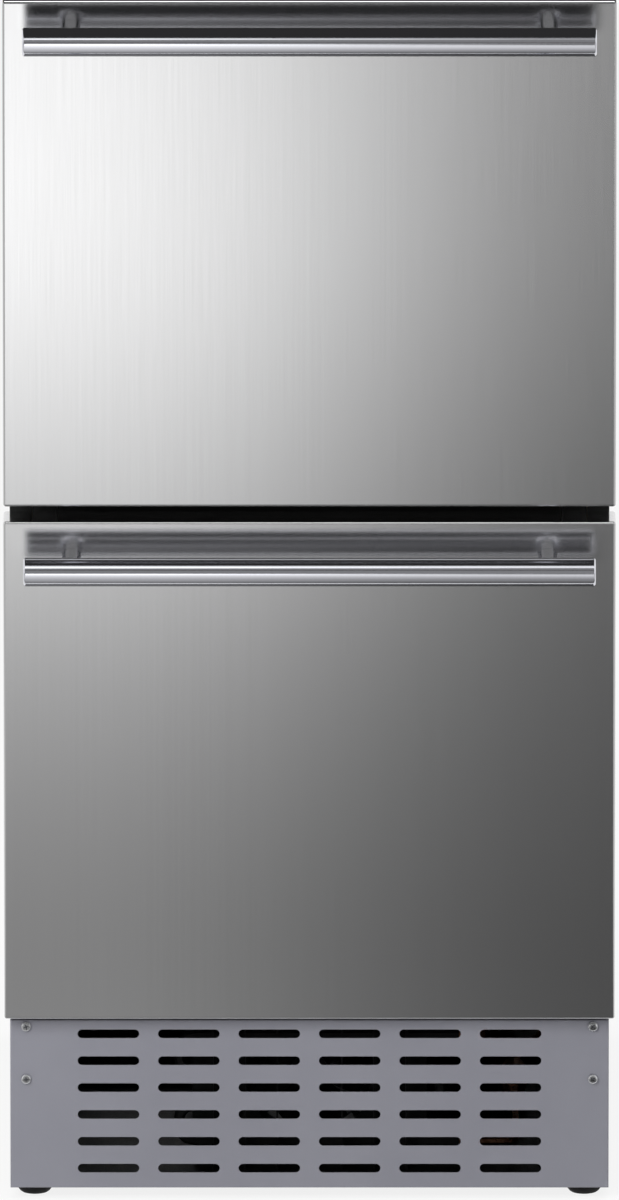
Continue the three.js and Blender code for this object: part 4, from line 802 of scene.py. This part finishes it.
def mix_surface(tree, one, other, share, output):
    """Links to an output one shader at a share of 0 and the other at 1."""
    mix = tree.nodes.new("ShaderNodeMixShader")
    tree.links.new(share, mix.inputs["Fac"])
    tree.links.new(one, mix.inputs[1])
    tree.links.new(other, mix.inputs[2])
    tree.links.new(mix.outputs["Shader"], tree.nodes[output].inputs["Surface"])


# ------------------------------------------------------------------ room
ROOM_COLOUR = (0.97, 0.98, 1.0)
ROOM_STRENGTH = 0.42
FLOOR_HALF = 40.0
FLOOR_GLOW = 0.85  # how much the floor is seen as white instead of lit
ROOM_HALF = 9.0  # half width of the painted reflection sheet and the wall, and the wall's height and distance
PAINTED_REFLECTION_NEAR = 0.05  # in front of the steel
PAINTED_REFLECTION_LIFT = 2 * MM  # above the floor
LOW_FLAG_DISTANCE = 1.05
LOW_FLAG_HALF = 2.0
LOW_FLAG_HEIGHTS = (0.88, 0.94)
HIGH_FLAG_NEAR = 0.48  # how far it hangs out in front of the steel
HIGH_FLAG_BACK = 0.8
HIGH_FLAG_HALF = 0.7
HIGH_FLAG_HEIGHT = 1.25
BACK_FLAG_LOW = 0.9

# glow of the wall by height, and of the flags, dim sheets that paint dark reflections, by metres from the
# middle
WALL = [(0, 0.3), (ROOM_HALF, 0.2)]
DARK_REFLECTION_GLOW = [(-LOW_FLAG_HALF, 0.035), (LOW_FLAG_HALF, 0.03)]

# painted reflection: glow of the sheet lying in front, by metres in front of the steel, which gives the
# steel fronts their painted shading, lighter at the top
REACH = [
    (0.0, 0.12), (0.3, 0.3), (0.5, 0.36), (0.76, 0.335), (1.0, 0.34), (1.3, 0.385), (1.6, 0.445),
    (1.9, 0.53), (2.2, 0.62), (2.7, 0.92), (3.0, 1.04), (3.3, 1.22), (3.6, 1.40), (3.9, 1.54),
    (4.2, 1.54), (4.6, 1.52),
]
# times a factor by metres from the middle: the first close to the steel, and the second far out
BREADTH_NEAR = [
    (-0.25, 1.0), (-0.15, 1.0), (-0.08, 0.86), (0.0, 0.66), (0.08, 0.49), (0.14, 0.39), (0.2, 0.33),
    (0.3, 0.3),
]
BREADTH_FAR = [
    (-0.25, 1.14), (-0.12, 1.12), (-0.04, 0.85), (0.03, 0.58), (0.1, 0.33), (0.2, 0.16), (0.3, 0.1),
]
# share of the second, by metres in front of the steel
FAR_SHARE = [(0.0, 0.0), (1.2, 0.05), (1.8, 0.4), (2.4, 0.8), (3.0, 1.0), (4.0, 1.0)]
# share of an even glow for views from the side, by metres from the middle
ASIDE = [(-1.0, 1), (-0.85, 1), (-0.68, 0), (-0.5, 0), (0.5, 0), (0.68, 0), (0.85, 1), (1.0, 1)]
ASIDE_GLOW = 0.62


def add_world():
    """Even light all round, and white where the camera, metal or glass looks at it."""
    world = bpy.data.worlds.new("studio")
    bpy.context.scene.world = world
    world.use_nodes = True
    tree = world.node_tree
    room = tree.nodes["Background"]
    room.inputs["Color"].default_value = (*ROOM_COLOUR, 1)
    room.inputs["Strength"].default_value = ROOM_STRENGTH
    white = tree.nodes.new("ShaderNodeBackground")
    white.inputs["Color"].default_value = (*grey(1), 1)
    one, other = room.outputs["Background"], white.outputs["Background"]
    mix_surface(tree, one, other, seen_directly(tree), "World Output")


def floor_paint():
    """Pale floor that looks near white and keeps the object's shadow."""
    surface = Surface("floor_paint", Roughness=0.9, Specular_IOR_Level=0.0)
    surface.colours(surface.noise((3, 3, 3)), grey(0.84), grey(0.87))
    tree = surface.tree
    glow = surface.node("ShaderNodeEmission")
    share = arithmetic(tree, "MULTIPLY", seen_directly(tree), FLOOR_GLOW)
    mix_surface(tree, surface.shader.outputs["BSDF"], glow.outputs["Emission"], share, "Material Output")
    return surface.material


def glow_sheet(name):
    """A material that glows by itself, its tree, the x, y, z coordinates and the socket of its strength."""
    material = bpy.data.materials.new(name)
    material.use_nodes = True
    tree = material.node_tree
    tree.nodes.remove(tree.nodes["Principled BSDF"])
    place = tree.nodes.new("ShaderNodeTexCoord")
    axes = tree.nodes.new("ShaderNodeSeparateXYZ")
    tree.links.new(place.outputs["Object"], axes.inputs[0])
    glow = tree.nodes.new("ShaderNodeEmission")
    tree.links.new(glow.outputs["Emission"], tree.nodes["Material Output"].inputs["Surface"])
    return material, tree, axes.outputs, glow.inputs["Strength"]


def glow_along(name, axis, points):
    """A glow that follows a curve of (place, strength) points along one axis."""
    material, tree, axes, strength = glow_sheet(name)
    tree.links.new(curve(tree, axes[axis], points), strength)
    return material


def painted_reflection_glow(face):
    """Painted reflection: glow by distance in front of the steel, times a left to right fall that is
    steeper further out; the steel fronts mirror it as painted shading, lighter at the top and on the left.

    Far to the left and right it is even, for views from the side.
    """
    material, tree, axes, strength = glow_sheet("painted_reflection_glow")
    distance = arithmetic(tree, "SUBTRACT", face, axes["Y"])
    near = curve(tree, axes["X"], BREADTH_NEAR)
    far = curve(tree, axes["X"], BREADTH_FAR)
    breadth = blend(tree, near, far, curve(tree, distance, FAR_SHARE))
    middle = arithmetic(tree, "MULTIPLY", curve(tree, distance, REACH), breadth)
    tree.links.new(blend(tree, middle, ASIDE_GLOW, curve(tree, axes["X"], ASIDE)), strength)
    return material


def add_sheet(name, low, high, material):
    """A flat rectangle of the studio between two corners that share one coordinate."""
    low, high = Vector(low), Vector(high)
    flat = min(range(3), key=lambda i: abs(high[i] - low[i]))
    u, v = [i for i in range(3) if i != flat]
    corners = []
    for at_u, at_v in ((low, low), (high, low), (high, high), (low, high)):
        corner = low.copy()
        corner[u], corner[v] = at_u[u], at_v[v]
        corners.append(tuple(corner))
    mesh = bpy.data.meshes.new(name)
    mesh.from_pydata(corners, [], [(0, 1, 2, 3)])
    sheet = bpy.data.objects.new(name, mesh)
    bpy.context.scene.collection.objects.link(sheet)
    mesh.materials.append(material)
    return sheet


def add_mirrored(name, low, high, material):
    """A sheet that glows brightly or dimly and that only polished surfaces show, as a painted reflection;
    it lights nothing and casts no shadow.
    """
    sheet = add_sheet(name, low, high, material)
    sheet.visible_camera = False
    sheet.visible_diffuse = False
    sheet.visible_transmission = False
    sheet.visible_shadow = False


def add_room(face):
    """World, pale floor, a glowing sheet lying in front that paints the steel's reflection, the wall at its
    end, and flags, dim sheets that paint dark reflections.
    """
    add_world()
    add_sheet("floor", (-FLOOR_HALF, -FLOOR_HALF, 0), (FLOOR_HALF, FLOOR_HALF, 0), floor_paint())
    far = face - ROOM_HALF
    near_corner = (ROOM_HALF, face - PAINTED_REFLECTION_NEAR, PAINTED_REFLECTION_LIFT)
    # Painted reflection: a glowing sheet on the floor that only polished surfaces show, graded so that the
    # steel fronts look lighter at the top and on the left
    add_mirrored("painted_reflection_sheet", (-ROOM_HALF, far, PAINTED_REFLECTION_LIFT), near_corner, painted_reflection_glow(face))
    wall = glow_along("wall_glow", "Z", WALL)
    add_mirrored("front_wall", (-ROOM_HALF, far, 0), (ROOM_HALF, far, ROOM_HALF), wall)
    # Flags: dim sheets that only polished surfaces show, as painted dark reflections in the handles
    dark_reflection_paint = glow_along("painted_dark_reflection", "X", DARK_REFLECTION_GLOW)
    low_y = face - LOW_FLAG_DISTANCE
    bottom, top = LOW_FLAG_HEIGHTS
    add_mirrored("low_flag", (-LOW_FLAG_HALF, low_y, bottom), (LOW_FLAG_HALF, low_y, top), dark_reflection_paint)
    front = (-HIGH_FLAG_HALF, face - HIGH_FLAG_NEAR, HIGH_FLAG_HEIGHT)
    back = (HIGH_FLAG_HALF, HIGH_FLAG_BACK, HIGH_FLAG_HEIGHT)
    add_mirrored("high_flag", front, back, dark_reflection_paint)
    add_mirrored("back_flag", (-HIGH_FLAG_HALF, HIGH_FLAG_BACK, BACK_FLAG_LOW), back, dark_reflection_paint)


# ------------------------------------------------------------------ lamps
UPWARDS = (math.pi, 0, 0)
DOWNWARDS = (0, 0, 0)
SOFT_BOXES = {  # place, what it points at, size, watts
    "key_box": ((-1.3, -2.0, 1.5), (0, -0.25, 0.45), (1.0, 1.4), 42),
    "top_box": ((0.3, 0.1, 3.0), (0, 0, 0.5), (2.4, 2.4), 40),
}
LAYER = 0.01  # between lamps that lie on each other, as a ray counts only one of those at the same distance

# lamps lying in front, which only the handles catch: distance of the near edge from the steel, and radiance
BAR_LAMPS = ((0.1, 0.1), (0.25, 0.08), (0.45, 0.12), (0.65, 0.15), (0.9, 0.15), (1.2, 0.1))
BAR_LAMPS_END = 3.0
BAR_LAMPS_WIDTH = 1.6

# strip lights up in front, also for the handles, which together fade to the right: right end, and radiance
TUBES = ((-0.13, 0.24), (-0.03, 0.24), (0.07, 0.22), (0.15, 0.18), (1.0, 0.18))
TUBES_LEFT = -1.0
TUBES_WIDTH = 0.3
TUBES_DISTANCE = 1.16
TUBES_HEIGHT = 1.575
TUBES_AIM = 0.66  # height of the place on the steel that they point at

# strips above the fronts' top edges, which only the fronts catch: place from the edge, and size
EDGE_LAMPS = {"upper": ((0, 0.024, 0.03), (0.45, 0.045)), "lower": ((0, -0.015, 0.03), (0.45, 0.01))}
EDGE_RADIANCE = 3.0


def pointing(place, target):
    """The rotation of a lamp that points at a target."""
    return (Vector(target) - Vector(place)).to_track_quat("-Z", "Y").to_euler()


def add_area(name, place, rotation, size, power):
    """A soft box that lights the object and isn't seen itself."""
    data = bpy.data.lights.new(name, "AREA")
    data.shape = "RECTANGLE"
    data.size, data.size_y = size
    data.energy = power
    lamp = bpy.data.objects.new(name, data)
    lamp.location = place
    lamp.rotation_euler = rotation
    lamp.visible_camera = False
    lamp.visible_glossy = False
    bpy.context.scene.collection.objects.link(lamp)
    return lamp


def add_linked(name, place, rotation, size, radiance, catchers):
    """A soft box that only the named polished pieces catch, and mirror."""
    lamp = add_area(name, place, rotation, size, radiance * math.pi * size[0] * size[1])
    lamp.visible_glossy = True
    receivers = bpy.data.collections.new(name)
    for catcher in catchers:
        receivers.objects.link(bpy.data.objects[catcher])
    lamp.light_linking.receiver_collection = receivers


def add_handle_lamps(face):
    """A stack of lamps lying in front, and strip lights higher up."""
    bars = [drawer + "_handle_bar" for drawer in DRAWERS]
    for n, (near, radiance) in enumerate(BAR_LAMPS, start=1):
        place = (0, face - (near + BAR_LAMPS_END) / 2, LAYER * n)
        size = (BAR_LAMPS_WIDTH, BAR_LAMPS_END - near)
        add_linked(f"bar_lamp_{n}", place, UPWARDS, size, radiance, bars)
    for n, (right, radiance) in enumerate(TUBES, start=1):
        middle = (right + TUBES_LEFT) / 2
        place = (middle, face - TUBES_DISTANCE - LAYER * (n - 1), TUBES_HEIGHT)
        rotation = pointing(place, (middle, face, TUBES_AIM))
        add_linked(f"tube_{n}", place, rotation, (right - TUBES_LEFT, TUBES_WIDTH), radiance, bars)


def add_edge_lamps():
    """A narrow lamp above the top edge of each front, which brightens its fold."""
    for drawer, (shift, size) in EDGE_LAMPS.items():
        low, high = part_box(drawer + "_drawer_skin")
        place = Vector((0, low.y, high.z)) + Vector(shift)
        add_linked(drawer + "_edge_lamp", place, DOWNWARDS, size, EDGE_RADIANCE, [drawer + "_steel_front"])


def add_lamps(face):
    """Two soft boxes for everything, and the lamps that only polished steel catches."""
    for name, (place, target, size, power) in SOFT_BOXES.items():
        add_area(name, place, pointing(place, target), size, power)
    add_handle_lamps(face)
    add_edge_lamps()


steel_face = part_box("upper_drawer_skin")[0].y
add_room(steel_face)
add_lamps(steel_face)
